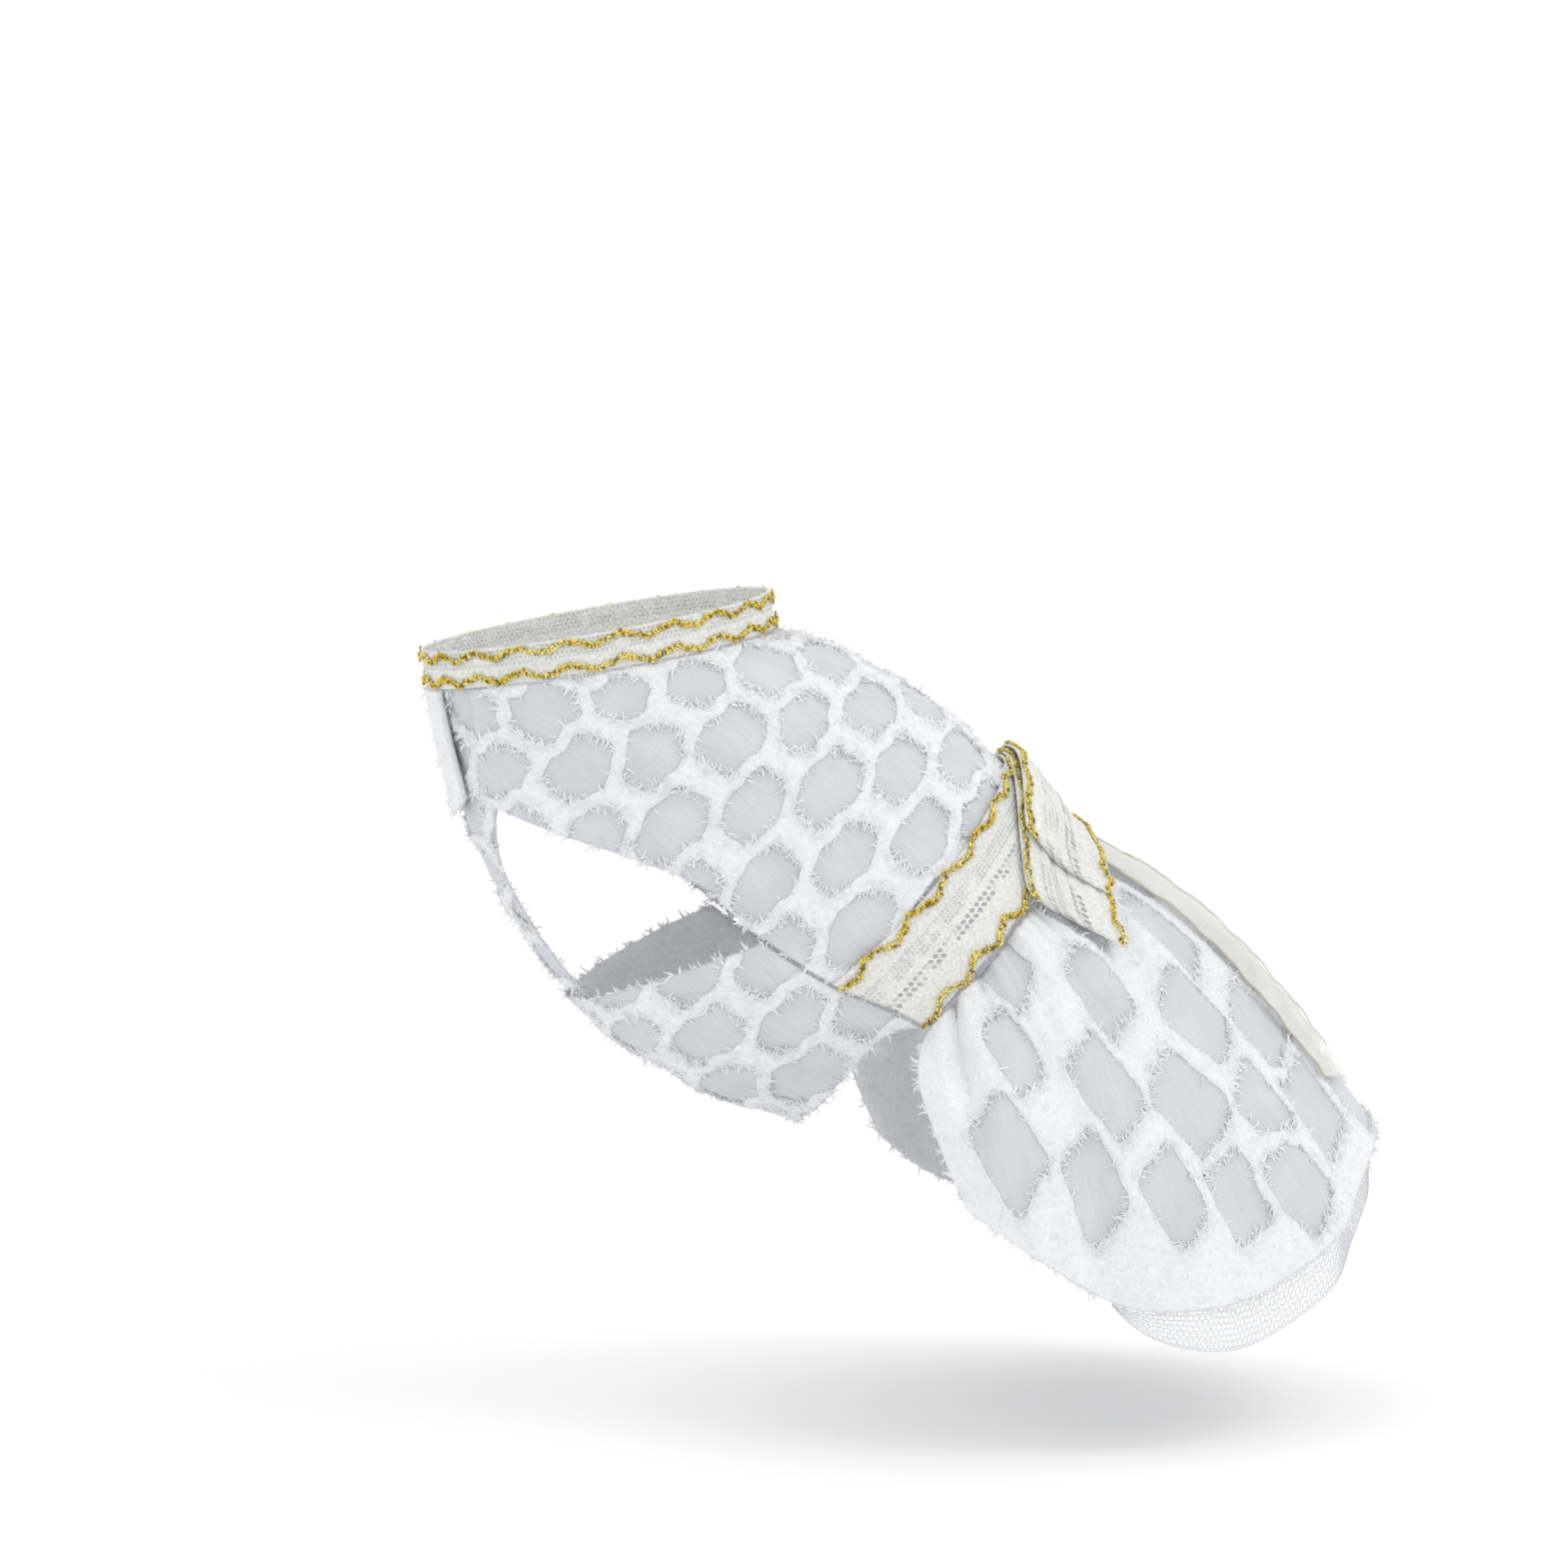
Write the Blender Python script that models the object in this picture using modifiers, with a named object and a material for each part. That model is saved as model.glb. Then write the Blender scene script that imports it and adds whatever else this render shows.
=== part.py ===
"""A small dog's dress: windowed cloth bodice, lace neck band and belt edged with gold braid,
gathered skirt over a net petticoat, and a lace bow with two sheer tails.

The wearer would face -X with its back towards +Z. The origin is the inner face of the back
panel at the withers. Lengths are in metres.
"""
import math
from collections import namedtuple

import bmesh
import bpy
from mathutils import Vector

# Driving dimensions of the torso that the dress is cut for
TORSO_RUN = 0.112        # neckline centre to waist centre, level
TORSO_DROP = 0.1078      # the same two centres, in height
CHEST_DEPTH = 0.1746     # withers to breastbone, across the slanted chest section
CHEST_WIDTH = 0.120      # flank to flank at the chest
REAR_SLOPE = 38.2        # degrees that the torso's axis falls behind the waist

# Cloth, lace and braid
CLOTH = 0.0016           # windowed cloth with its raised fringe
LACE = 0.0010
SHEER = 0.0010           # ribbon and net
BRAID = 0.0010
BRAID_WIDTH = 0.0024
GAP = 0.0005             # clearance between two layers that bend alike
LOOSE = 0.0013           # clearance between two layers that bend apart
SEAM = 0.0006            # clearance between two edges that meet

# Bands
NECK_HEIGHT = 0.0137
NECK_OPENING = 0.006     # between the band's two ends at the throat
BELT_WIDTH = 0.030
BELT_HEM = 0.003         # cloth that reaches past the belt's braid
LACE_HEM = 0.002         # lace that reaches past it
WAVE_PITCH = 0.0165      # one wave of the gold braid
WAVE_REACH = 0.0023      # belt braid's centre line to either side
NECK_WAVE_REACH = 0.0013 # the neck's braid is flatter
PLACKET_WIDTH = 0.025
PLACKET_LENGTH = 0.043
PLACKET_ROUND = 0.004    # corners of its lower end stop this much higher
PLACKET_FOLD = 0.0026    # folded cloth is thicker

# Skirt
SKIRT_REACH = 0.1270     # waist at the back to the rear of the hem, level
SKIRT_FALL = 0.1665      # waist at the back to the lowest part of the hem
SKIRT_WIDTH = 0.190
SKIRT_PUFF = 0.015       # how far the skirt stands over the straight line from waist to hem
GATHER_DEPTH = 0.0022    # half height of the small pleats under the belt
WAVE_DEPTH = 0.0036      # half height of the soft waves at the hem
SKIRT_SEAM = 0.0016      # bodice's lower edge to the gathered edge
PETTICOAT_DROP = 0.018   # net that shows under the hem
PETTICOAT_CLEAR = 0.0030 # skirt's middle surface to the net's

# Bow
RIBBON_WIDTH = 0.031
BOW_BEHIND = 0.0205      # belt's upper braid to the middle of the bow
BOW_SLANT = 0.024        # each loop swings this far back at LARGE_LOOP from the spine
LARGE_LOOP = 0.063       # knot to the loop's end, along the surface
SMALL_LOOP = 0.047
LOOP_PUFF = 0.0012       # how far the upper layer of a loop stands up
LOOP_REAR = 0.0080       # rise over the gathers for each belt's width, at the spine
LOOP_FLARE = 0.0140      # the same rise added towards the flanks
TAIL_WIDTH = 0.024
TAIL_START = 0.032       # from the waist, where the tails come out from under the bow
TAIL_LENGTH = 0.112
TAIL_POINT = 0.010       # how far a tail's pointed end stands past its corners
TAIL_APART = 0.0023      # each tail's inner edge to the spine, at the start
TAIL_CLEAR = 0.0014      # tails lie on the crests of the folds

Station = namedtuple("Station", "run drop depth width tilt")
STATIONS = [             # shares of the torso's sizes, and the section's tilt in degrees
    Station(0.000, 0.000, 0.730, 0.80, 8.7),     # neckline
    Station(0.157, 0.173, 0.884, 0.90, 14.3),    # shoulder
    Station(0.296, 0.396, 0.979, 0.97, 20.9),    # armhole
    Station(0.497, 0.662, 1.000, 1.00, 34.1),    # withers and chest
    Station(0.749, 0.869, 0.943, 0.98, 47.7),    # ribs
    Station(1.000, 1.000, 0.860, 0.95, 59.1),    # waist
]
Rump = namedtuple("Rump", "depth width tilt")
RUMPS = [Rump(0.745, 0.93, 59.2), Rump(0.710, 0.90, 59.2)]   # each a belt's width further on
WITHERS = 3

Edge = namedtuple("Edge", "station angle")
BACK_EDGE = [            # where the back panel ends, in degrees from the spine
    Edge(0.00, 146), Edge(0.80, 150), Edge(1.36, 155), Edge(1.60, 144), Edge(1.85, 133),
    Edge(2.20, 120), Edge(2.50, 111), Edge(2.78, 106), Edge(3.40, 105.4), Edge(6.50, 105.4),
]
CHEST_EDGE = [           # half width of the chest panel, in degrees from the breastbone
    Edge(0.00, 42), Edge(1.20, 36), Edge(1.60, 26), Edge(2.10, 17), Edge(3.40, 15),
]
SIDE_SEAM = 106.0
BELLY_FRONT = 3.05       # station where the belly panel starts under the breastbone
BELLY_REAR = 4.90
BELT_TOP = 4.85          # station of the belt's upper braid on the spine
BELT_SLANT = 0.95        # stations by which the belt would lead under the belly
PLACKET_ANGLE = 184.0    # the strip lies a little to the -Y side of the breastbone
CHEST_END = 3.30

HemRow = namedtuple("HemRow", "out side down")
HEM = [                  # half of the hem, evenly from the rear, as shares of reach, half width and fall
    HemRow(1.000, 0.000, 0.677), HemRow(0.925, 0.316, 0.745), HemRow(0.799, 0.572, 0.851),
    HemRow(0.625, 0.805, 0.925), HemRow(0.381, 0.959, 0.984), HemRow(0.130, 1.024, 0.976),
    HemRow(-0.128, 0.998, 0.897), HemRow(-0.356, 0.906, 0.807),
]
SKIRT_COLUMNS = 50       # faces round the skirt
SKIRT_ROWS = 10
PETTICOAT_COLUMNS = 38   # the net has the skirt's columns without its front ones
GATHERS = 6              # small pleats in each half of the waist
SOFT_WAVES = 3.5         # waves in each half of the hem

Look = namedtuple("Look", "color roughness metallic")
LOOKS = {
    "cloth": Look((0.84, 0.85, 0.88), 0.85, 0.0),
    "lace": Look((0.90, 0.90, 0.84), 0.80, 0.0),
    "gold": Look((0.72, 0.52, 0.10), 0.35, 0.9),
    "ribbon": Look((0.92, 0.91, 0.84), 0.60, 0.0),
    "net": Look((0.93, 0.93, 0.94), 0.70, 0.0),
}


def blend(values, place):
    """Smooth curve through evenly spaced values, carried on straight past its ends."""
    last = len(values) - 1
    index = int(min(max(math.floor(place), 0), last - 1))
    t = place - index
    before = values[index - 1] if index else 2 * values[0] - values[1]
    after = values[index + 2] if index + 2 <= last else 2 * values[last] - values[last - 1]
    start, end = values[index], values[index + 1]
    bend = 2 * before - 5 * start + 4 * end - after
    rise = 3 * (start - end) - before + after
    return start + 0.5 * t * ((end - before) + bend * t + rise * t * t)


def between(rows, place, column):
    """Straight run between the rows of a table; the first column is the place."""
    if place <= rows[0][0]:
        return rows[0][column]
    for low, high in zip(rows, rows[1:]):
        if place <= high[0]:
            part = (place - low[0]) / (high[0] - low[0])
            return low[column] + part * (high[column] - low[column])
    return rows[-1][column]


def torso_sections():
    """Columns of centre x, centre z, depth, width and tilt, one value for each station."""
    rows = []
    for item in STATIONS:
        rows.append((item.run * TORSO_RUN, -item.drop * TORSO_DROP,
                     item.depth * CHEST_DEPTH, item.width * CHEST_WIDTH, math.radians(item.tilt)))
    slope = math.radians(REAR_SLOPE)
    for step, item in enumerate(RUMPS, start=1):
        rows.append((rows[len(STATIONS) - 1][0] + step * BELT_WIDTH * math.cos(slope),
                     rows[len(STATIONS) - 1][1] - step * BELT_WIDTH * math.sin(slope),
                     item.depth * CHEST_DEPTH, item.width * CHEST_WIDTH, math.radians(item.tilt)))
    seat = rows[WITHERS]
    top_x = seat[0] + seat[2] / 2 * math.cos(seat[4])
    top_z = seat[1] + seat[2] / 2 * math.sin(seat[4])
    rows = [(row[0] - top_x, row[1] - top_z) + row[2:] for row in rows]
    return list(zip(*rows))


SECTIONS = torso_sections()


def torso_point(station, angle):
    """A point of the wearer's outline; the angle runs from the spine, + towards +Y."""
    x, z, depth, width, tilt = (blend(column, station) for column in SECTIONS)
    up, out = math.cos(math.radians(angle)) * depth / 2, math.sin(math.radians(angle)) * width / 2
    return Vector((x + up * math.cos(tilt), out, z + up * math.sin(tilt)))


def lifted(surface, u, v, lift, centre):
    """The surface's point moved out along its normal; centre is any point well inside."""
    step = 0.01
    point = surface(u, v)
    normal = (surface(u + step, v) - surface(u - step, v)).cross(
        surface(u, v + step) - surface(u, v - step)).normalized()
    if normal.dot(point - centre) < 0:
        normal.negate()
    return point + normal * lift


def torso(station, angle, lift):
    x, z = blend(SECTIONS[0], station), blend(SECTIONS[1], station)
    inside = Vector((x, 0, z))
    return lifted(lambda s, a: torso_point(s, a * 100), station, angle / 100, lift, inside)


def belt_station(angle, across):
    """Station of the belt; across is the way over its width in metres from the upper braid."""
    lead = BELT_SLANT * (1 - math.cos(math.radians(angle))) / 2
    return BELT_TOP - lead + across / BELT_WIDTH


def hem_point(share):
    """A point of the hem; the table's half is mirrored so that the rear is smooth."""
    rows = [HemRow(row.out, -row.side, row.down) for row in reversed(HEM[1:])] + HEM
    place = (share + 1) / 2 * (len(rows) - 1)
    out, side, down = (blend(column, place) for column in zip(*rows))
    top = torso_point(belt_station(0, BELT_WIDTH), 0)
    return Vector((top.x + out * SKIRT_REACH, side * SKIRT_WIDTH / 2, top.z - down * SKIRT_FALL))


def skirt_frame(share, down):
    """The smooth skirt before its folds: share is -1 to 1 round it, down is 0 at the waist."""
    angle = share * SIDE_SEAM
    waist = torso(belt_station(angle, BELT_WIDTH + BELT_HEM + SKIRT_SEAM), angle, CLOTH)
    return waist.lerp(hem_point(share), down)


def skirt_inside(down):
    top = torso_point(belt_station(0, BELT_WIDTH), 0)
    return Vector((top.x, 0, top.z - SKIRT_FALL * (0.6 + 0.6 * down)))


def folds(share, down):
    """Height of the small pleats under the belt plus the soft waves that grow to the hem."""
    calm = min(1.0, max(0.0, (abs(share) - 0.06) / 0.25))
    near = math.sin(math.pi * min(1.0, down / 0.55)) ** 1.5
    pleats = GATHER_DEPTH * near * math.cos(2 * math.pi * GATHERS * share)
    waves = WAVE_DEPTH * down ** 1.4 * math.cos(2 * math.pi * SOFT_WAVES * share + 0.8)
    return calm * (pleats + waves)


def skirt(share, down, lift):
    puff = SKIRT_PUFF * math.sin(math.pi * min(1.0, max(0.0, down)) ** 0.75)
    return lifted(skirt_frame, share, down, puff + folds(share, down) + lift, skirt_inside(down))


def new_material(name):
    look = LOOKS[name]
    material = bpy.data.materials.new(name)
    material.use_nodes = True
    shader = material.node_tree.nodes["Principled BSDF"]
    shader.inputs["Base Color"].default_value = (*look.color, 1)
    shader.inputs["Roughness"].default_value = look.roughness
    shader.inputs["Metallic"].default_value = look.metallic
    return material


def sheet(name, place, columns, rows, thickness, look, ring=False):
    """A grid bent by place(across, down), both 0 to 1, and given its thickness both ways."""
    grid = bmesh.new()
    bmesh.ops.create_grid(grid, x_segments=columns, y_segments=rows, size=0.5)
    for vertex in grid.verts:
        vertex.co = place(vertex.co.x + 0.5, vertex.co.y + 0.5)
    if ring:
        bmesh.ops.remove_doubles(grid, verts=grid.verts, dist=1e-6)
    mesh = bpy.data.meshes.new(name)
    grid.to_mesh(mesh)
    grid.free()
    mesh.materials.append(materials[look])
    piece = bpy.data.objects.new(name, mesh)
    collection.objects.link(piece)
    wall = piece.modifiers.new("Wall", "SOLIDIFY")
    wall.thickness = thickness
    wall.offset = 0
    wall.use_quality_normals = True
    mesh.shade_smooth()
    return piece


def bodice():
    def place(across, down):
        angle, station = 0.0, 0.0
        for _ in range(6):
            station = down * belt_station(angle, BELT_WIDTH + BELT_HEM)
            angle = (2 * across - 1) * between(BACK_EDGE, station, 1)
        return torso(station, angle, CLOTH / 2)

    sheet("bodice_back", place, 24, 20, CLOTH, "cloth")


def chest():
    def panel(across, down):
        station = down * CHEST_END
        angle = 180 + (2 * across - 1) * between(CHEST_EDGE, station, 1)
        return torso(station, angle, -LOOSE - CLOTH / 2)

    first_step = (torso_point(1, 180) - torso_point(0, 180)).length

    def strip(across, down):
        # the lower end is rounded: its corners stop short of the middle
        length = PLACKET_LENGTH - PLACKET_ROUND * (2 * across - 1) ** 2
        half = math.degrees(PLACKET_WIDTH / CHEST_WIDTH)
        angle = PLACKET_ANGLE + (2 * across - 1) * half
        return torso(down * length / first_step, angle, PLACKET_FOLD / 2)

    sheet("chest_panel", panel, 6, 13, CLOTH, "cloth")
    sheet("front_placket", strip, 4, 7, PLACKET_FOLD, "cloth")


def belly():
    seam_gap = math.degrees(2 * SEAM / CHEST_WIDTH)

    def place(across, down):
        half = 180 - SIDE_SEAM - seam_gap
        angle = 180 + (2 * across - 1) * half
        from_seam = half - abs(angle - 180)
        front = BELLY_FRONT + 0.42 * math.exp(-from_seam / 30)
        corner = belt_station(SIDE_SEAM, BELT_WIDTH + BELT_HEM) - BELLY_REAR
        rear = BELLY_REAR + corner * math.exp(-from_seam / 4)
        return torso(front + down * (rear - front), angle, CLOTH / 2)

    sheet("belly_panel", place, 12, 8, CLOTH, "cloth")


def neck_point(angle, height, lift):
    """A point of the neck band, which stands on the bodice's upper edge."""
    tilt = math.radians(STATIONS[0].tilt)
    up = Vector((-math.sin(tilt), 0, math.cos(tilt)))
    rim = torso_point(0, angle)
    outward = (rim - Vector((SECTIONS[0][0], 0, SECTIONS[1][0]))).normalized()
    cloth_top = max(0.0, (torso(0, angle, CLOTH) - rim).dot(up))
    return rim + outward * lift + up * (height + cloth_top + SEAM)


def braid(name, edge, length, reach):
    """Wavy gold braid; edge(across, off) is the seam it follows, off is metres to its side."""
    waves = max(3, round(length / WAVE_PITCH))

    def place(across, over):
        swing = reach * math.sin(2 * math.pi * waves * across)
        return edge(across, swing + (over - 0.5) * BRAID_WIDTH)

    sheet(name, place, 4 * waves, 1, BRAID, "gold")


def neck():
    half = 180 - math.degrees(NECK_OPENING / CHEST_WIDTH)
    layer = CLOTH / 2
    outside = layer + LACE / 2 + GAP + BRAID / 2
    girth = math.pi * (STATIONS[0].depth * CHEST_DEPTH + STATIONS[0].width * CHEST_WIDTH) / 2

    half_braid = NECK_WAVE_REACH + BRAID_WIDTH / 2

    def band(across, up):
        return neck_point((2 * across - 1) * half, up * NECK_HEIGHT, layer)

    def edge_at(height):
        return lambda across, off: neck_point((2 * across - 1) * half, height + off, outside)

    sheet("neck_band", band, 36, 2, LACE, "lace")
    braid("neck_trim_top", edge_at(NECK_HEIGHT - half_braid), girth, NECK_WAVE_REACH)
    braid("neck_trim_bottom", edge_at(half_braid), girth, NECK_WAVE_REACH)


def belt():
    inside = CLOTH + GAP
    outside = inside + LACE + GAP + BRAID / 2
    length = 2 * SIDE_SEAM / 360 * math.pi * (STATIONS[5].depth * CHEST_DEPTH
                                              + STATIONS[5].width * CHEST_WIDTH) / 2

    def band(across, down):
        angle = (2 * across - 1) * (SIDE_SEAM - 0.5)
        over = -LACE_HEM + down * (BELT_WIDTH + 2 * LACE_HEM)
        return torso(belt_station(angle, over), angle, inside + LACE / 2)

    def edge_at(line):
        def edge(across, off):
            angle = (2 * across - 1) * (SIDE_SEAM - 0.5)
            return torso(belt_station(angle, line + off), angle, outside)
        return edge

    sheet("waist_belt", band, 24, 3, LACE, "lace")
    braid("belt_trim_upper", edge_at(0), length, WAVE_REACH)
    braid("belt_trim_lower", edge_at(BELT_WIDTH), length, WAVE_REACH)


def skirts():
    span = PETTICOAT_COLUMNS / SKIRT_COLUMNS

    def over(across, down):
        return skirt(2 * across - 1, down, 0)

    def under(across, down):
        # its rows lie under the skirt's own, and one more hangs below the hem
        share = (2 * across - 1) * span
        row = 1 + down * SKIRT_ROWS
        sewn = (CLOTH + SHEER) / 2 + GAP
        below = sewn + (PETTICOAT_CLEAR - sewn) * min(1.0, row - 1)
        point = skirt(share, min(row, SKIRT_ROWS) / SKIRT_ROWS, -below)
        drop = max(0.0, row - SKIRT_ROWS) * PETTICOAT_DROP
        point.z -= drop * (1 - (2 * across - 1) ** 8)
        return point

    sheet("skirt", over, SKIRT_COLUMNS, SKIRT_ROWS, CLOTH, "cloth")
    sheet("petticoat", under, PETTICOAT_COLUMNS, SKIRT_ROWS, SHEER, "net")


def bow():
    base = CLOTH + GAP + LACE + LOOSE + LACE / 2
    layer = LACE + GAP
    middle = BELT_TOP + BOW_BEHIND / BELT_WIDTH
    radius = (STATIONS[5].depth * CHEST_DEPTH + STATIONS[5].width * CHEST_WIDTH) / 4

    def loop(reach, start):
        """Flat closed loop across the spine: out on its upper layer, back on its lower one."""
        def place(across, over):
            away = math.sin(2 * math.pi * across)
            top = 0.5 - 0.5 * math.tanh(6 * math.cos(2 * math.pi * across))
            angle = math.degrees(reach * math.copysign(abs(away) ** 0.8, away) / radius)
            slant = BOW_SLANT * (math.radians(angle) * radius / LARGE_LOOP) ** 2
            station = middle + (slant + (over - 0.5) * RIBBON_WIDTH) / BELT_WIDTH
            braid_bump = BRAID * min(1.0, max(0.0, 1 + (station - middle) / 0.25))
            behind = max(0.0, station - belt_station(angle, BELT_WIDTH))
            flare = LOOP_REAR + LOOP_FLARE * (1 - math.cos(math.radians(angle)))
            puff = LOOP_PUFF * math.sin(math.pi * abs(away)) * top
            lift = base + start + braid_bump + behind * flare + top * layer + puff
            return torso(station, angle, lift)
        return place

    sheet("bow_large_loop", loop(LARGE_LOOP, 0), 36, 2, LACE, "lace", ring=True)
    sheet("bow_small_loop", loop(SMALL_LOOP, 2 * layer + 2 * LOOP_PUFF), 28, 2, LACE, "lace", ring=True)


def tails():
    back_length = math.hypot(SKIRT_REACH, SKIRT_FALL * HEM[0].down)
    start = TAIL_START / back_length
    for name, side in (("tail_left", -1), ("tail_right", 1)):
        def place(across, down):
            # a share of the skirt grows wider towards the hem, so the ribbon takes less of it
            spread = TAIL_WIDTH / (SKIRT_WIDTH * (0.62 + 0.55 * down))
            length = TAIL_LENGTH - TAIL_POINT * abs(2 * across - 1)
            share = side * (TAIL_APART / SKIRT_WIDTH + across * spread)
            return skirt(share, start + down * length / back_length,
                         CLOTH / 2 + TAIL_CLEAR + SHEER / 2)

        sheet(name, place, 4, 12, SHEER, "ribbon")


for old in list(bpy.data.objects):
    bpy.data.objects.remove(old, do_unlink=True)
collection = bpy.data.collections.new("dog_dress")
bpy.context.scene.collection.children.link(collection)
materials = {name: new_material(name) for name in LOOKS}
for make in (bodice, chest, belly, neck, belt, skirts, bow, tails):
    make()
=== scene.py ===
import math

import bpy
import numpy as np
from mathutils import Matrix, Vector, noise


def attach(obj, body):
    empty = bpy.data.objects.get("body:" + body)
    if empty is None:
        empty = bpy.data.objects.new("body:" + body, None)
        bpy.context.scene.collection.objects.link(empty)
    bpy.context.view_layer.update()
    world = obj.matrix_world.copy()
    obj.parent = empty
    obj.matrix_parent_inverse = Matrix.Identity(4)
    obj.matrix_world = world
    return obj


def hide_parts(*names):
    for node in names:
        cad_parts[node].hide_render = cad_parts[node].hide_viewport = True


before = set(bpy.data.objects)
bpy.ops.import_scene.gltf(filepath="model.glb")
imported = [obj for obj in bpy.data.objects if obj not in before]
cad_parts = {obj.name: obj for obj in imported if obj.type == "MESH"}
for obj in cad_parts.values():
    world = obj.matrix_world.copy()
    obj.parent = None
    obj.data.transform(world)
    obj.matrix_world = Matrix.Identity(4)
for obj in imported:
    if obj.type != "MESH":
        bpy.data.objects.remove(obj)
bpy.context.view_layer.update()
scene = bpy.context.scene
print("frame loaded:", len(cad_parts), "nodes")

# Camera: the same angle as the photo, a long lens, no shift

cameraSetup = {
    "azimuth": -10.0,           # degrees, 0 looks along +Y
    "elevation": 6.0,
    "lens": 135.0,
    "sensor": 36.0,
    "picturePixels": 1569,
    "pixelSize": 0.00037,       # metres at the dress
    "originPixel": (945, 715),  # where the dress's origin falls in the picture
}


def placeCamera():
    s = cameraSetup
    turn, rise = math.radians(s["azimuth"]), math.radians(s["elevation"])
    back = Vector((math.sin(turn) * math.cos(rise), -math.cos(turn) * math.cos(rise), math.sin(rise)))
    right = Vector((math.cos(turn), math.sin(turn), 0))
    up = back.cross(right)
    middle = s["picturePixels"] / 2
    aim = right * (middle - s["originPixel"][0]) + up * (s["originPixel"][1] - middle)
    data = bpy.data.cameras.new("camera")
    data.lens = s["lens"]
    data.sensor_width = s["sensor"]
    data.clip_end = 100
    camera = bpy.data.objects.new("camera", data)
    distance = s["picturePixels"] * s["pixelSize"] * s["lens"] / s["sensor"]
    camera.location = aim * s["pixelSize"] + back * distance
    camera.rotation_mode = "QUATERNION"
    camera.rotation_quaternion = (-back).to_track_quat("-Z", "Y")
    scene.collection.objects.link(camera)
    scene.camera = camera


placeCamera()

# Sizes that the dress is cut to, the same as its solids follow, in metres and degrees

torsoCut = {
    "run": 0.112, "drop": 0.1078, "depth": 0.1746, "width": 0.120, "rearSlope": 38.2,
    "stations": [               # run, drop, depth, width as shares, then the section's tilt
        (0.000, 0.000, 0.730, 0.80, 8.7), (0.157, 0.173, 0.884, 0.90, 14.3),
        (0.296, 0.396, 0.979, 0.97, 20.9), (0.497, 0.662, 1.000, 1.00, 34.1),
        (0.749, 0.869, 0.943, 0.98, 47.7), (1.000, 1.000, 0.860, 0.95, 59.1),
    ],
    "rumps": [(0.745, 0.93, 59.2), (0.710, 0.90, 59.2)],
    "withers": 3,
}
cloth, lace, sheer, braidWall = 0.0016, 0.0010, 0.0010, 0.0010      # walls of the solids
gap, loose, seam = 0.0005, 0.0013, 0.0006                           # what lies between two of them
lining = cloth / 2 - 0.0001                                         # the cloth's inside from its middle
bandCut = {
    "neckHeight": 0.0137, "neckOpening": 0.006, "beltWidth": 0.030, "beltHem": 0.003, "laceHem": 0.002,
    "beltTop": 4.85, "beltSlant": 0.95, "sideSeam": 106.0,
}
skirtCut = {
    "reach": 0.1270, "fall": 0.1665, "width": 0.190, "puff": 0.015, "seam": 0.0016,
    "gathers": 6, "gatherDepth": 0.0022, "softWaves": 3.5, "waveDepth": 0.0036,
    "hem": [                    # out, side and down, evenly from the rear
        (1.000, 0.000, 0.677), (0.925, 0.316, 0.745), (0.799, 0.572, 0.851), (0.625, 0.805, 0.925),
        (0.381, 0.959, 0.984), (0.130, 1.024, 0.976), (-0.128, 0.998, 0.897), (-0.356, 0.906, 0.807),
    ],
}


def blendRow(values, place):
    # smooth curve through evenly spaced values, carried on straight past its ends
    values = np.asarray(values, float)
    last = len(values) - 1
    index = np.clip(np.floor(place), 0, last - 1).astype(int)
    t = place - index
    longer = np.concatenate([[2 * values[0] - values[1]], values, [2 * values[-1] - values[-2]]])
    before, start, end, after = (longer[index + k] for k in range(4))
    bend = 2 * before - 5 * start + 4 * end - after
    rise = 3 * (start - end) - before + after
    return start + 0.5 * t * ((end - before) + bend * t + rise * t * t)


def torsoSections():
    c = torsoCut
    rows = [(s[0] * c["run"], -s[1] * c["drop"], s[2] * c["depth"], s[3] * c["width"], math.radians(s[4]))
            for s in c["stations"]]
    waist, slope = rows[-1], math.radians(c["rearSlope"])
    for step, (depth, width, tilt) in enumerate(c["rumps"], start=1):
        rows.append((waist[0] + step * bandCut["beltWidth"] * math.cos(slope),
                     waist[1] - step * bandCut["beltWidth"] * math.sin(slope),
                     depth * c["depth"], width * c["width"], math.radians(tilt)))
    seat = rows[c["withers"]]
    topX = seat[0] + seat[2] / 2 * math.cos(seat[4])
    topZ = seat[1] + seat[2] / 2 * math.sin(seat[4])
    return np.array([(row[0] - topX, row[1] - topZ) + row[2:] for row in rows]).T


sections = torsoSections()


def torsoPoint(station, angle):
    # angle in degrees from the spine, + towards +Y
    x, z, depth, width, tilt = (blendRow(column, station) for column in sections)
    turn = np.radians(angle)
    up, out = np.cos(turn) * depth / 2, np.sin(turn) * width / 2
    return np.stack([x + up * np.cos(tilt), out, z + up * np.sin(tilt)], axis=-1)


def unit(vectors):
    return vectors / np.maximum(np.linalg.norm(vectors, axis=-1, keepdims=True), 1e-12)


def lifted(surface, u, v, lift, centre):
    step = 0.01
    point = surface(u, v)
    alongU = surface(u + step, v) - surface(u - step, v)
    alongV = surface(u, v + step) - surface(u, v - step)
    normal = unit(np.cross(alongU, alongV))
    side = np.sum(normal * (point - centre), axis=-1, keepdims=True)
    return point + np.where(side < 0, -normal, normal) * np.asarray(lift)[..., None]


def torso(station, angle, lift):
    station, angle, lift = np.broadcast_arrays(*(np.asarray(v, float) for v in (station, angle, lift)))
    x, z = blendRow(sections[0], station), blendRow(sections[1], station)
    centre = np.stack([x, np.zeros_like(x), z], axis=-1)
    return lifted(lambda s, a: torsoPoint(s, a * 100), station, angle / 100, lift, centre)


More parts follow.
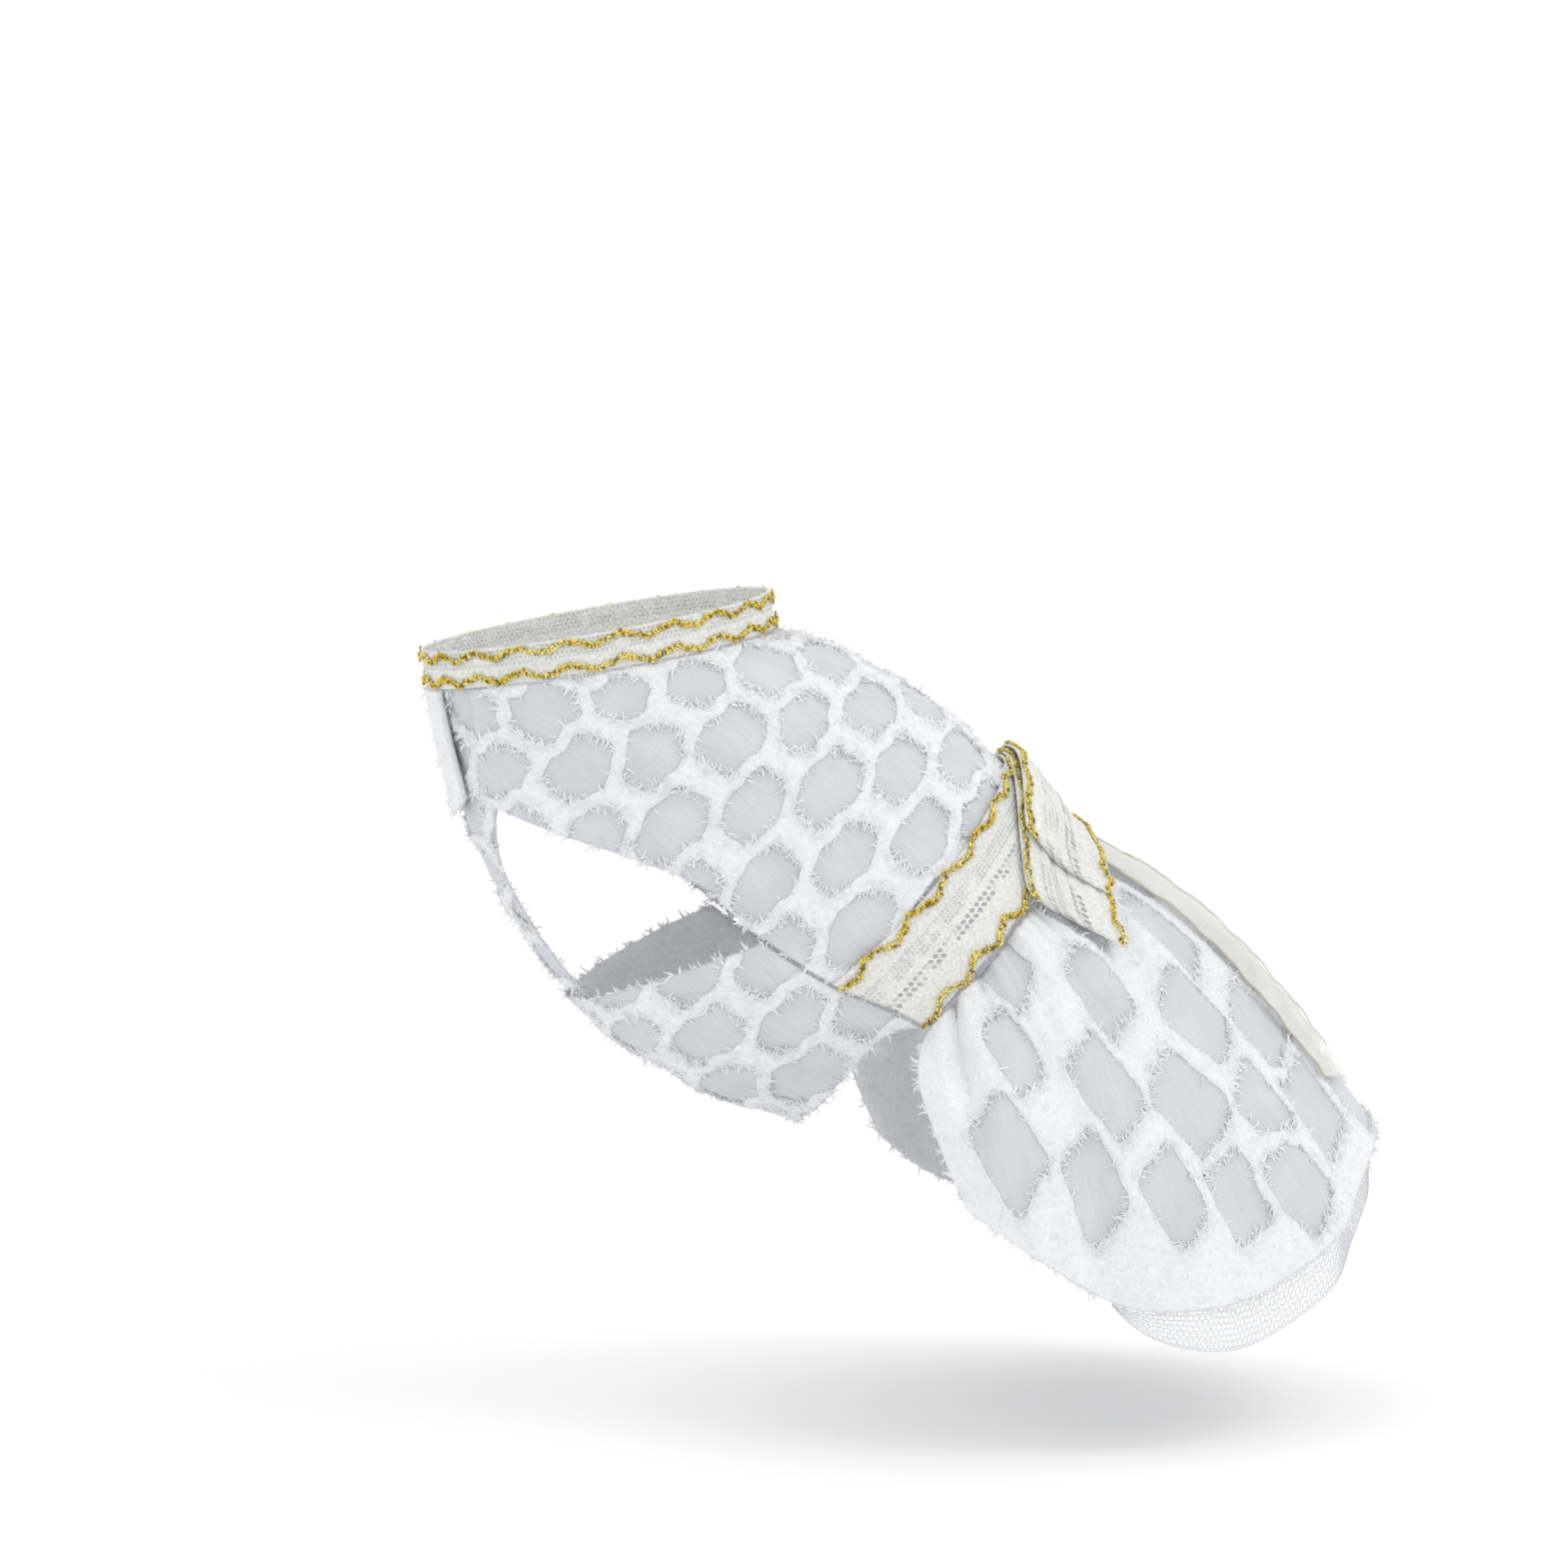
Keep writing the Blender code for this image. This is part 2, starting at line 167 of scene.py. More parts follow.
def beltStation(angle, across):
    lead = bandCut["beltSlant"] * (1 - np.cos(np.radians(angle))) / 2
    return bandCut["beltTop"] - lead + np.asarray(across) / bandCut["beltWidth"]


farHem = [(row[0], -row[1], row[2]) for row in reversed(skirtCut["hem"][1:])]
hemColumns = np.array(farHem + skirtCut["hem"]).T
waistTop = torsoPoint(beltStation(np.zeros(1), bandCut["beltWidth"]), np.zeros(1))[0]


def hemPoint(share):
    place = (share + 1) / 2 * (hemColumns.shape[1] - 1)
    out, side, down = (blendRow(column, place) for column in hemColumns)
    return np.stack([waistTop[0] + out * skirtCut["reach"], side * skirtCut["width"] / 2,
                     waistTop[2] - down * skirtCut["fall"]], axis=-1)


def skirtFrame(share, down):
    angle = share * bandCut["sideSeam"]
    start = bandCut["beltWidth"] + bandCut["beltHem"] + skirtCut["seam"]
    waist = torso(beltStation(angle, start), angle, cloth)
    return waist + (hemPoint(share) - waist) * down[..., None]


def foldHeight(share, down):
    c = skirtCut
    calm = np.clip((np.abs(share) - 0.06) / 0.25, 0, 1)
    near = np.sin(math.pi * np.clip(down / 0.55, 0, 1)) ** 1.5
    pleats = c["gatherDepth"] * near * np.cos(2 * math.pi * c["gathers"] * share)
    deeper = c["waveDepth"] * np.clip(down, 0, None) ** 1.4
    waves = deeper * np.cos(2 * math.pi * c["softWaves"] * share + 0.8)
    return calm * (pleats + waves)


def skirtCentre(down):
    # a line inside the skirt, which its outside faces away from
    return np.stack([np.full_like(down, waistTop[0]), np.zeros_like(down),
                     waistTop[2] - skirtCut["fall"] * (0.6 + 0.6 * down)], axis=-1)


def skirtPoint(share, down, lift):
    share, down, lift = np.broadcast_arrays(*(np.asarray(v, float) for v in (share, down, lift)))
    puff = skirtCut["puff"] * np.sin(math.pi * np.clip(down, 0, 1) ** 0.75)
    return lifted(skirtFrame, share, down, puff + foldHeight(share, down) + lift, skirtCentre(down))


# Mesh helpers

def finePlaces(columns, rows):
    # across 0 to 1 along columns, down 0 to 1 along rows
    return np.meshgrid(np.linspace(0, 1, columns + 1), np.linspace(0, 1, rows + 1))


def wayAlong(points, axis):
    # distance from a grid's first edge, down its columns (0) or along its rows (1)
    steps = np.linalg.norm(np.diff(points, axis=axis), axis=-1)
    start = np.zeros_like(np.take(steps, [0], axis=axis))
    return np.concatenate([start, np.cumsum(steps, axis=axis)], axis=axis)


def gridNormals(points, centre):
    alongRow = np.gradient(points, axis=1)
    alongColumn = np.gradient(points, axis=0)
    normal = unit(np.cross(alongRow, alongColumn))
    side = np.sum(normal * (points - centre), axis=-1, keepdims=True)
    return np.where(side < 0, -normal, normal)


def gridFaces(index, turned=False):
    corners = [index[:-1, :-1], index[:-1, 1:], index[1:, 1:], index[1:, :-1]]
    if turned:
        corners = [corners[k] for k in (0, 3, 2, 1)]
    return np.stack(corners, -1).reshape(-1, 4).tolist()


def sheetMesh(name, outer, inner, flat, marks, material, ring=False):
    # outer is a fine grid, inner its lining, coarser by a whole step; a rim of many-sided faces joins them
    rows, columns = outer.shape[0] - 1, outer.shape[1] - 1
    step = rows // (inner.shape[0] - 1)
    innerRows, innerColumns = inner.shape[0] - 1, inner.shape[1] - 1
    outerId = np.arange((rows + 1) * (columns + 1)).reshape(rows + 1, columns + 1)
    innerId = np.arange((innerRows + 1) * (innerColumns + 1)).reshape(innerRows + 1, innerColumns + 1)
    innerId = outerId.size + innerId
    faces = gridFaces(outerId) + gridFaces(innerId, turned=True)
    edges = [(outerId[0], innerId[0], True), (outerId[-1], innerId[-1], False)]
    if not ring:
        edges += [(outerId[:, -1], innerId[:, -1], True), (outerId[:, 0], innerId[:, 0], False)]
    for fine, coarse, backward in edges:
        for k in range(len(coarse) - 1):
            run = fine[k * step:(k + 1) * step + 1].tolist()
            if backward:
                faces.append(run[::-1] + [int(coarse[k]), int(coarse[k + 1])])
            else:
                faces.append(run + [int(coarse[k + 1]), int(coarse[k])])
    middle = (rows // 2, columns // 2)
    toRight = outer[middle[0], middle[1] + 1] - outer[middle]
    toBelow = outer[middle[0] + 1, middle[1]] - outer[middle]
    facing = np.cross(toRight, toBelow)
    nearInner = inner[middle[0] // step, middle[1] // step]
    nearOuter = outer[middle[0] // step * step, middle[1] // step * step]
    if np.dot(facing, nearOuter - nearInner) < 0:
        faces = [face[::-1] for face in faces]
    points = np.concatenate([outer.reshape(-1, 3), inner.reshape(-1, 3)])
    uv = np.concatenate([flat.reshape(-1, 2), flat[::step, ::step].reshape(-1, 2)])
    weld = np.arange(len(points))
    if ring:
        weld[outerId[:, -1]] = outerId[:, 0]
        weld[innerId[:, -1]] = innerId[:, 0]
    kept, packed = np.unique(weld, return_inverse=True)
    mesh = bpy.data.meshes.new(name)
    mesh.from_pydata(points[kept].tolist(), [], [[int(packed[i]) for i in face] for face in faces])
    layer = mesh.uv_layers.new(name="flat")
    loops = np.array([i for face in faces for i in face])
    layer.data.foreach_set("uv", uv[loops].astype(np.float32).ravel())
    for mark, (outside, inside) in marks.items():
        values = np.concatenate([outside.reshape(-1), np.full(inner.shape[0] * inner.shape[1], inside)])[kept]
        attribute = mesh.attributes.new(mark, "FLOAT", "POINT")
        attribute.data.foreach_set("value", values.astype(np.float32))
    mesh.shade_smooth()
    mesh.materials.append(material)
    piece = bpy.data.objects.new(name, mesh)
    scene.collection.objects.link(piece)
    return piece


def finish(piece, nodes=()):
    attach(piece, "root")
    if nodes:
        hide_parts(*nodes)
    faces = sum(len(polygon.vertices) - 2 for polygon in piece.data.polygons)
    print(piece.name, "done,", faces, "triangles")
    return piece


def add(tree, kind, inputs=None, **settings):
    # a node with its settings; an input is either a value or another node's socket
    node = tree.nodes.new(kind)
    for key, value in settings.items():
        setattr(node, key, value)
    for key, value in (inputs or {}).items():
        if isinstance(value, bpy.types.NodeSocket):
            tree.links.new(value, node.inputs[key])
        else:
            node.inputs[key].default_value = value
    return node


socketKinds = {
    "f": "NodeSocketFloat", "i": "NodeSocketInt", "v": "NodeSocketVector", "c": "NodeSocketColor",
    "g": "NodeSocketGeometry", "m": "NodeSocketMaterial",
}


def addInputs(tree, inputs):
    for label, kind, value in inputs:
        socket = tree.interface.new_socket(label, in_out="INPUT", socket_type=socketKinds[kind])
        if value is not None:
            socket.default_value = value


def addOutputs(tree, outputs):
    for label, kind in outputs:
        tree.interface.new_socket(label, in_out="OUTPUT", socket_type=socketKinds[kind])


# Shader groups that several materials share

def newGroup(name, inputs, outputs):
    tree = bpy.data.node_groups.new(name, "ShaderNodeTree")
    addInputs(tree, inputs)
    addOutputs(tree, outputs)
    return tree, add(tree, "NodeGroupInput").outputs


def calc(tree, operation, first, second=0.0, third=0.0):
    return add(tree, "ShaderNodeMath", {0: first, 1: second, 2: third}, operation=operation).outputs[0]


def vectorCalc(tree, operation, inputs):
    return add(tree, "ShaderNodeVectorMath", inputs, operation=operation).outputs[0]


def ranged(tree, value, low, high):
    # 0 where value is low, 1 where it is high
    return add(tree, "ShaderNodeMapRange", {"Value": value, "From Min": low, "From Max": high}).outputs[0]


def fuzzGroup():
    # soft lumps of looped yarn, as a height and a shade
    inputs = [("Vector", "v", None), ("Scale", "f", 400.0)]
    tree, source = newGroup("fuzz", inputs, [("Height", "f"), ("Shade", "f")])
    broad = add(tree, "ShaderNodeTexNoise", {
        "Vector": source["Vector"], "Scale": source["Scale"], "Detail": 4.0, "Roughness": 0.62})
    loops = add(tree, "ShaderNodeTexVoronoi", {"Vector": source["Vector"], "Scale": source["Scale"]},
                feature="SMOOTH_F1")
    height = calc(tree, "SUBTRACT", broad.outputs[0], calc(tree, "MULTIPLY", loops.outputs["Distance"], 0.45))
    shade = ranged(tree, height, 0.05, 0.5)
    add(tree, "NodeGroupOutput", {"Height": height, "Shade": shade})
    return tree


def weaveGroup():
    # crossing threads; Threads is how many run in a metre
    tree, source = newGroup("weave", [("Vector", "v", None), ("Threads", "f", 900.0), ("Slant", "f", 0.5)],
                            [("Height", "f")])
    turned = add(tree, "ShaderNodeVectorRotate", {"Vector": source["Vector"], "Angle": source["Slant"]},
                 rotation_type="Z_AXIS")
    parts = add(tree, "ShaderNodeSeparateXYZ", {"Vector": turned.outputs[0]}).outputs
    waves = []
    for part in (parts[0], parts[1]):
        turns = calc(tree, "MULTIPLY", calc(tree, "MULTIPLY", part, source["Threads"]), 2 * math.pi)
        waves.append(calc(tree, "SINE", turns))
    height = calc(tree, "MULTIPLY_ADD", calc(tree, "MAXIMUM", waves[0], waves[1]), 0.5, 0.5)
    add(tree, "NodeGroupOutput", {"Height": height})
    return tree


def toneDriftGroup():
    # broad, faint changes of tone, as handled cloth has
    tree, source = newGroup("toneDrift", [("Color", "c", None), ("Vector", "v", None), ("Scale", "f", 30.0),
                                          ("Amount", "f", 0.1)], [("Color", "c")])
    drift = add(tree, "ShaderNodeTexNoise", {
        "Vector": source["Vector"], "Scale": source["Scale"], "Detail": 2.0})
    level = calc(tree, "MULTIPLY_ADD", calc(tree, "SUBTRACT", drift.outputs[0], 0.5), source["Amount"], 1.0)
    toned = vectorCalc(tree, "SCALE", {0: source["Color"], "Scale": level})
    add(tree, "NodeGroupOutput", {"Color": toned})
    return tree


fuzzTree, weaveTree, driftTree = fuzzGroup(), weaveGroup(), toneDriftGroup()


def place(tree, group, inputs):
    return add(tree, "ShaderNodeGroup", inputs, node_tree=group).outputs


def newMaterial(name, roughness, metallic=0.0, sheen=0.0):
    material = bpy.data.materials.new(name)
    material.use_nodes = True
    shader = material.node_tree.nodes["Principled BSDF"]
    shader.inputs["Roughness"].default_value = roughness
    shader.inputs["Metallic"].default_value = metallic
    shader.inputs["Sheen Weight"].default_value = sheen
    return material, material.node_tree, shader


def mixed(tree, factor, first, second):
    # first and second are colours, as three values or another node's socket
    colors = [value if isinstance(value, bpy.types.NodeSocket) else (*value, 1) for value in (first, second)]
    return add(tree, "ShaderNodeMix", {0: factor, 6: colors[0], 7: colors[1]}, data_type="RGBA").outputs[2]


def attributeOf(tree, name):
    return add(tree, "ShaderNodeAttribute", attribute_name=name, attribute_type="GEOMETRY").outputs["Fac"]


def bumped(tree, shader, height, distance):
    bump = add(tree, "ShaderNodeBump", {"Height": height, "Distance": distance, "Strength": 1.0})
    tree.links.new(bump.outputs[0], shader.inputs["Normal"])


clothLook = {
    # the ground's lighter colour is partly random tone of the weave, partly painted sheen
    "ground": (0.530, 0.542, 0.580), "groundToneAndSheen": (0.625, 0.636, 0.668), "net": (0.815, 0.823, 0.838),
    # the net's hollow colour is painted shade: the yarn in the hollows between its lumps
    "netHollowShade": (0.600, 0.615, 0.650), "edgeShade": (0.44, 0.455, 0.49),
    "fray": 0.7, "frayScale": 1100.0, "calm": 0.42, "fuzzScale": 430.0, "threads": 700.0,
    "streakSlant": 0.45, "streakScale": (1500.0, 60.0, 1.0), "relief": 0.0010,
}


def clothMaterial():
    # net (millimetres from the nearest window's edge) tells the raised white yarn from the smooth ground
    c = clothLook
    material, tree, shader = newMaterial("windowedCloth", 0.82, sheen=0.12)
    flat = add(tree, "ShaderNodeUVMap", uv_map="flat").outputs[0]
    net = attributeOf(tree, "net")
    torn = add(tree, "ShaderNodeTexNoise", {
        "Vector": flat, "Scale": c["frayScale"], "Detail": 3.0, "Roughness": 0.65})
    edge = calc(tree, "MULTIPLY_ADD", calc(tree, "SUBTRACT", torn.outputs[0], 0.5), c["fray"], net)
    mask = ranged(tree, edge, -0.15, 0.2)
    under = ranged(tree, edge, -1.3, 0.0)
    threads = place(tree, weaveTree, {"Vector": flat, "Threads": c["threads"], "Slant": 0.5})[0]
    # the ground turns lighter along diagonal streaks and in broad patches: partly random tone of the weave,
    # partly painted sheen
    sheen = add(tree, "ShaderNodeTexNoise", {"Vector": flat, "Scale": 45.0, "Detail": 1.5})
    streak = add(tree, "ShaderNodeMapping", {
        "Vector": flat, "Rotation": (0, 0, c["streakSlant"]), "Scale": c["streakScale"]})
    streaks = add(tree, "ShaderNodeTexNoise", {"Vector": streak.outputs[0], "Scale": 1.0, "Detail": 2.0})
    tone = calc(tree, "MULTIPLY_ADD", streaks.outputs[0], 0.5, calc(tree, "MULTIPLY", sheen.outputs[0], 0.5))
    tone = ranged(tree, tone, 0.35, 0.65)
    ground = mixed(tree, tone, c["ground"], c["groundToneAndSheen"])
    ground = mixed(tree, calc(tree, "MULTIPLY", under, 0.22), ground, c["edgeShade"])
    fuzz = place(tree, fuzzTree, {"Vector": flat, "Scale": c["fuzzScale"]})
    shaggy = attributeOf(tree, "shaggy")
    depth = calc(tree, "MULTIPLY_ADD", shaggy, 1.0 - c["calm"], c["calm"])
    # painted shade: the net's white yarn turns darker grey in the hollows between the fuzz's lumps, more so
    # where the net is shaggy
    hollowShade = calc(tree, "MULTIPLY", calc(tree, "SUBTRACT", 1.0, fuzz["Shade"]), depth)
    yarn = mixed(tree, hollowShade, c["net"], c["netHollowShade"])
    yarn = place(tree, driftTree, {"Color": yarn, "Vector": flat, "Scale": 60.0, "Amount": 0.12})[0]
    tree.links.new(mixed(tree, mask, ground, yarn), shader.inputs["Base Color"])
    rough = calc(tree, "MULTIPLY_ADD", mask, 0.2, 0.62)
    tree.links.new(rough, shader.inputs["Roughness"])
    lumps = calc(tree, "MULTIPLY", fuzz["Height"], calc(tree, "MULTIPLY_ADD", depth, 0.75, 0.25))
    raised = calc(tree, "MULTIPLY", mask, calc(tree, "ADD", lumps, 0.1))
    height = calc(tree, "MULTIPLY_ADD", threads, 0.06, raised)
    bumped(tree, shader, height, c["relief"])
    return material


yarnLook = {"color": (0.90, 0.907, 0.916), "driftScale": 260.0, "drift": 0.25}


def yarnMaterial():
    c = yarnLook
    material, tree, shader = newMaterial("whiteYarn", 0.9, sheen=0.5)
    spot = add(tree, "ShaderNodeTexCoord").outputs["Object"]
    tone = place(tree, driftTree, {
        "Color": (*c["color"], 1), "Vector": spot, "Scale": c["driftScale"], "Amount": c["drift"]})[0]
    tree.links.new(tone, shader.inputs["Base Color"])
    return material


laceLook = {
    "yarn": (0.885, 0.885, 0.845), "hollowShade": (0.675, 0.68, 0.66), "hole": (0.43, 0.45, 0.485),
    "eyeletRows": [(0.0172, 0.0), (0.0196, 0.5)], "eyeletPitch": 0.0027, "eyeletRadius": 0.00075,
    "fineRows": [(0.0080, 0.0), (0.0096, 0.5), (0.0112, 0.0), (0.0128, 0.5)],
    "finePitch": 0.0017, "fineRadius": 0.0005, "wander": 0.0009, "relief": 0.0007,
}


def eyeletGroup():
    # one row of round holes along x at this height; Shift is in pitches
    tree, source = newGroup("eyelets", [("Vector", "v", None), ("Row", "f", 0.018), ("Shift", "f", 0.0),
                                        ("Pitch", "f", 0.002), ("Radius", "f", 0.0005)], [("Hole", "f")])
    parts = add(tree, "ShaderNodeSeparateXYZ", {"Vector": source["Vector"]}).outputs
    turn = calc(tree, "ADD", calc(tree, "DIVIDE", parts[0], source["Pitch"]), source["Shift"])
    across = calc(tree, "MULTIPLY", calc(tree, "SUBTRACT", calc(tree, "FRACT", turn), 0.5), source["Pitch"])
    up = calc(tree, "SUBTRACT", parts[1], source["Row"])
    squares = calc(tree, "ADD", calc(tree, "MULTIPLY", across, across), calc(tree, "MULTIPLY", up, up))
    away = calc(tree, "SQRT", squares)
    inside = calc(tree, "DIVIDE", away, source["Radius"])
    hole = ranged(tree, inside, 1.25, 0.7)
    add(tree, "NodeGroupOutput", {"Hole": hole})
    return tree


eyeletTree = eyeletGroup()


def laceMaterial():
    c = laceLook
    material, tree, shader = newMaterial("creamLace", 0.85, sheen=0.1)
    flat = add(tree, "ShaderNodeUVMap", uv_map="flat").outputs[0]
    wander = add(tree, "ShaderNodeTexNoise", {"Vector": flat, "Scale": 420.0, "Detail": 1.0})
    pull = vectorCalc(tree, "SCALE", {0: wander.outputs["Color"], "Scale": c["wander"]})
    spot = vectorCalc(tree, "ADD", {0: flat, 1: pull})
    holes = []
    for rows, pitch, radius, weight in ((c["eyeletRows"], c["eyeletPitch"], c["eyeletRadius"], 1.0),
                                        (c["fineRows"], c["finePitch"], c["fineRadius"], 0.45)):
        for row, shift in rows:
            hole = place(tree, eyeletTree, {"Vector": spot, "Row": row, "Shift": shift, "Pitch": pitch,
                                            "Radius": radius})[0]
            holes.append(calc(tree, "MULTIPLY", hole, weight))
    hole = holes[0]
    for other in holes[1:]:
        hole = calc(tree, "MAXIMUM", hole, other)
    patch = add(tree, "ShaderNodeTexNoise", {"Vector": flat, "Scale": 130.0, "Detail": 1.0}).outputs[0]
    hole = calc(tree, "MULTIPLY", hole, ranged(tree, patch, 0.34, 0.52))
    fuzz = place(tree, fuzzTree, {"Vector": flat, "Scale": 800.0})
    # painted shade: the lace's yarn turns darker in the hollows between the fuzz's lumps
    yarn = mixed(tree, fuzz["Shade"], c["hollowShade"], c["yarn"])
    yarn = place(tree, driftTree, {"Color": yarn, "Vector": flat, "Scale": 50.0, "Amount": 0.12})[0]
    # the eyelet holes are painted dark grey-blue: partly the colour of the cloth beneath, partly painted
    # shade in the holes
    tree.links.new(mixed(tree, hole, yarn, c["hole"]), shader.inputs["Base Color"])
    threads = place(tree, weaveTree, {"Vector": flat, "Threads": 640.0, "Slant": 0.785})[0]
    height = calc(tree, "MULTIPLY_ADD", threads, 0.35, fuzz["Height"])
    bumped(tree, shader, calc(tree, "SUBTRACT", height, hole), c["relief"])
    return material


goldLook = {
    "bright": (0.80, 0.62, 0.07), "pale": (0.90, 0.80, 0.30), "darkShade": (0.20, 0.12, 0.008),
    "scale": 700.0, "broadScale": 700.0 / 9, "relief": 0.0002,
}


def goldMaterial():
    c = goldLook
    material, tree, shader = newMaterial("goldYarn", 0.34, metallic=0.75)
    spot = add(tree, "ShaderNodeTexCoord").outputs["Object"]
    # painted glints and shade: the yarn is bright gold where the glint noise is high and dark brown where it
    # is low; those dark spots are rougher too
    glint = add(tree, "ShaderNodeTexNoise", {"Vector": spot, "Scale": c["scale"], "Detail": 2.0}).outputs[0]
    broad = add(tree, "ShaderNodeTexNoise", {"Vector": spot, "Scale": c["broadScale"], "Detail": 1.0})
    dullAndShaded = ranged(tree, glint, 0.53, 0.36)
    pale = ranged(tree, broad.outputs[0], 0.42, 0.68)
    color = mixed(tree, dullAndShaded, mixed(tree, pale, c["bright"], c["pale"]), c["darkShade"])
    tree.links.new(color, shader.inputs["Base Color"])
    tree.links.new(calc(tree, "MULTIPLY_ADD", dullAndShaded, 0.3, 0.26), shader.inputs["Roughness"])
    bumped(tree, shader, glint, c["relief"])
    return material


ribbonLook = {"yarn": (0.90, 0.895, 0.86), "edge": (0.40, 0.35, 0.24), "edgeWidth": 0.0011, "opacity": 0.42,
              "relief": 0.0001}


def ribbonMaterial(width):
    # the ribbon's two sides are finished with a thin darker line
    c = ribbonLook
    material, tree, shader = newMaterial("sheerRibbon", 0.5, sheen=0.2)
    flat = add(tree, "ShaderNodeUVMap", uv_map="flat").outputs[0]
    parts = add(tree, "ShaderNodeSeparateXYZ", {"Vector": flat}).outputs
    half = width / 2
    fromMiddle = calc(tree, "ABSOLUTE", calc(tree, "SUBTRACT", parts[0], half))
    edge = ranged(tree, fromMiddle, half - c["edgeWidth"], half - c["edgeWidth"] / 2)
    threads = place(tree, weaveTree, {"Vector": flat, "Threads": 1100.0, "Slant": 0.0})[0]
    yarn = place(tree, driftTree, {
        "Color": (*c["yarn"], 1), "Vector": flat, "Scale": 90.0, "Amount": 0.15})[0]
    color = mixed(tree, calc(tree, "MULTIPLY", edge, 0.75), yarn, c["edge"])
    tree.links.new(color, shader.inputs["Base Color"])
    alpha = calc(tree, "MULTIPLY_ADD", threads, 0.12, c["opacity"] - 0.06)
    tree.links.new(calc(tree, "MAXIMUM", alpha, edge), shader.inputs["Alpha"])
    bumped(tree, shader, threads, c["relief"])
    return material


netLook = {"cell": 0.0021, "line": (0.76, 0.77, 0.80), "veil": 0.10, "lineOpacity": 0.22}


def netMaterial(name, solid):
    # six-sided mesh from three waves a third of a turn apart; the cells stay almost clear
    c = netLook
    material, tree, shader = newMaterial(name, 0.7, sheen=0.1)
    flat = add(tree, "ShaderNodeUVMap", uv_map="flat").outputs[0]
    shader.inputs["Base Color"].default_value = (*c["line"], 1)
    if solid:
        spot = add(tree, "ShaderNodeTexCoord").outputs["Object"]
        tone = place(tree, driftTree, {
            "Color": (*c["line"], 1), "Vector": spot, "Scale": 300.0, "Amount": 0.2})[0]
        tree.links.new(tone, shader.inputs["Base Color"])
        return material
    parts = add(tree, "ShaderNodeSeparateXYZ", {"Vector": flat}).outputs
    turnsPerMetre = 4 * math.pi / (math.sqrt(3) * c["cell"])
    total = None
    for third in range(3):
        turn = 2 * math.pi * third / 3
        up = calc(tree, "MULTIPLY", parts[1], math.sin(turn))
        way = calc(tree, "MULTIPLY_ADD", parts[0], math.cos(turn), up)
        wave = calc(tree, "COSINE", calc(tree, "MULTIPLY", way, turnsPerMetre))
        total = wave if total is None else calc(tree, "ADD", total, wave)
    line = ranged(tree, total, -0.3, -0.9)
    alpha = calc(tree, "MULTIPLY_ADD", line, c["lineOpacity"] - c["veil"], c["veil"])
    tree.links.new(alpha, shader.inputs["Alpha"])
    return material


whiteCloth, whiteYarn, creamLace, goldYarn = clothMaterial(), yarnMaterial(), laceMaterial(), goldMaterial()
tulle, tulleThread = netMaterial("tulle", False), netMaterial("tulleThread", True)
print("materials made")

# Windows: the cloth's raised white net leaves staggered rounded openings over a smooth grey ground

windowCut = {
    "halfLength": 0.0158, "halfWidth": 0.0104, "corner": 0.0056, "band": 0.0048,
    "sizeSpread": 0.11, "turnSpread": 11.0, "shift": 0.0013, "near": 0.045,
    "wobble": 0.0009, "wobbleSize": 0.007, "torn": 0.0007, "tornSize": 0.0022, "shagReach": 0.0040,
    "netRise": 0.0009, "lip": 0.0003, "lump": 0.00042, "lumpSize": 0.0028, "edgeRun": 0.0009,
}


def noiseOver(flat, size, seed):
    scaled = flat.reshape(-1, 2) / size
    values = [noise.noise((x, y, seed)) for x, y in scaled.tolist()]
    return np.array(values).reshape(flat.shape[:-1])


def windowEdge(flat, centres, turns, halfSize):
    # distance to the nearest window's edge, + on the net, and how squarely an end of the window faces there
    cut = windowCut
    random = np.random.default_rng(7)
    best = np.full(flat.shape[:-1], 1.0)
    second = best.copy()
    ends = np.zeros(flat.shape[:-1])
    for (across, down), turn in zip(centres, turns):
        scale = 1 + random.uniform(-1, 1) * cut["sizeSpread"]
        turn = math.radians(turn + random.uniform(-1, 1) * cut["turnSpread"])
        axis = np.array([math.cos(turn), math.sin(turn)])
        off = flat - (across, down) - random.uniform(-1, 1, 2) * cut["shift"]
        near = np.abs(off).max(axis=-1) < cut["near"]
        if not near.any():
            continue
        along, beside = off @ axis, off @ np.array([-axis[1], axis[0]])
        overLength = np.abs(along) - (halfSize[0] * scale - cut["corner"])
        overWidth = np.abs(beside) - (halfSize[1] * scale - cut["corner"])
        outside = np.hypot(np.maximum(overLength, 0), np.maximum(overWidth, 0))
        edge = outside + np.minimum(np.maximum(overLength, overWidth), 0) - cut["corner"]
        nearer = edge < best
        second = np.where(nearer, best, np.minimum(second, edge))
        best = np.where(nearer, edge, best)
        end = np.clip(np.maximum(overLength, 0) / np.maximum(outside, 1e-6), 0, 1)
        ends = np.where(nearer, end, ends)
    best = np.maximum(best, (cut["band"] - (second - best)) / 2)
    best += cut["wobble"] * noiseOver(flat, cut["wobbleSize"], 3.1)
    best += cut["torn"] * noiseOver(flat, cut["tornSize"], 6.4) * (0.4 + ends)
    return best, ends


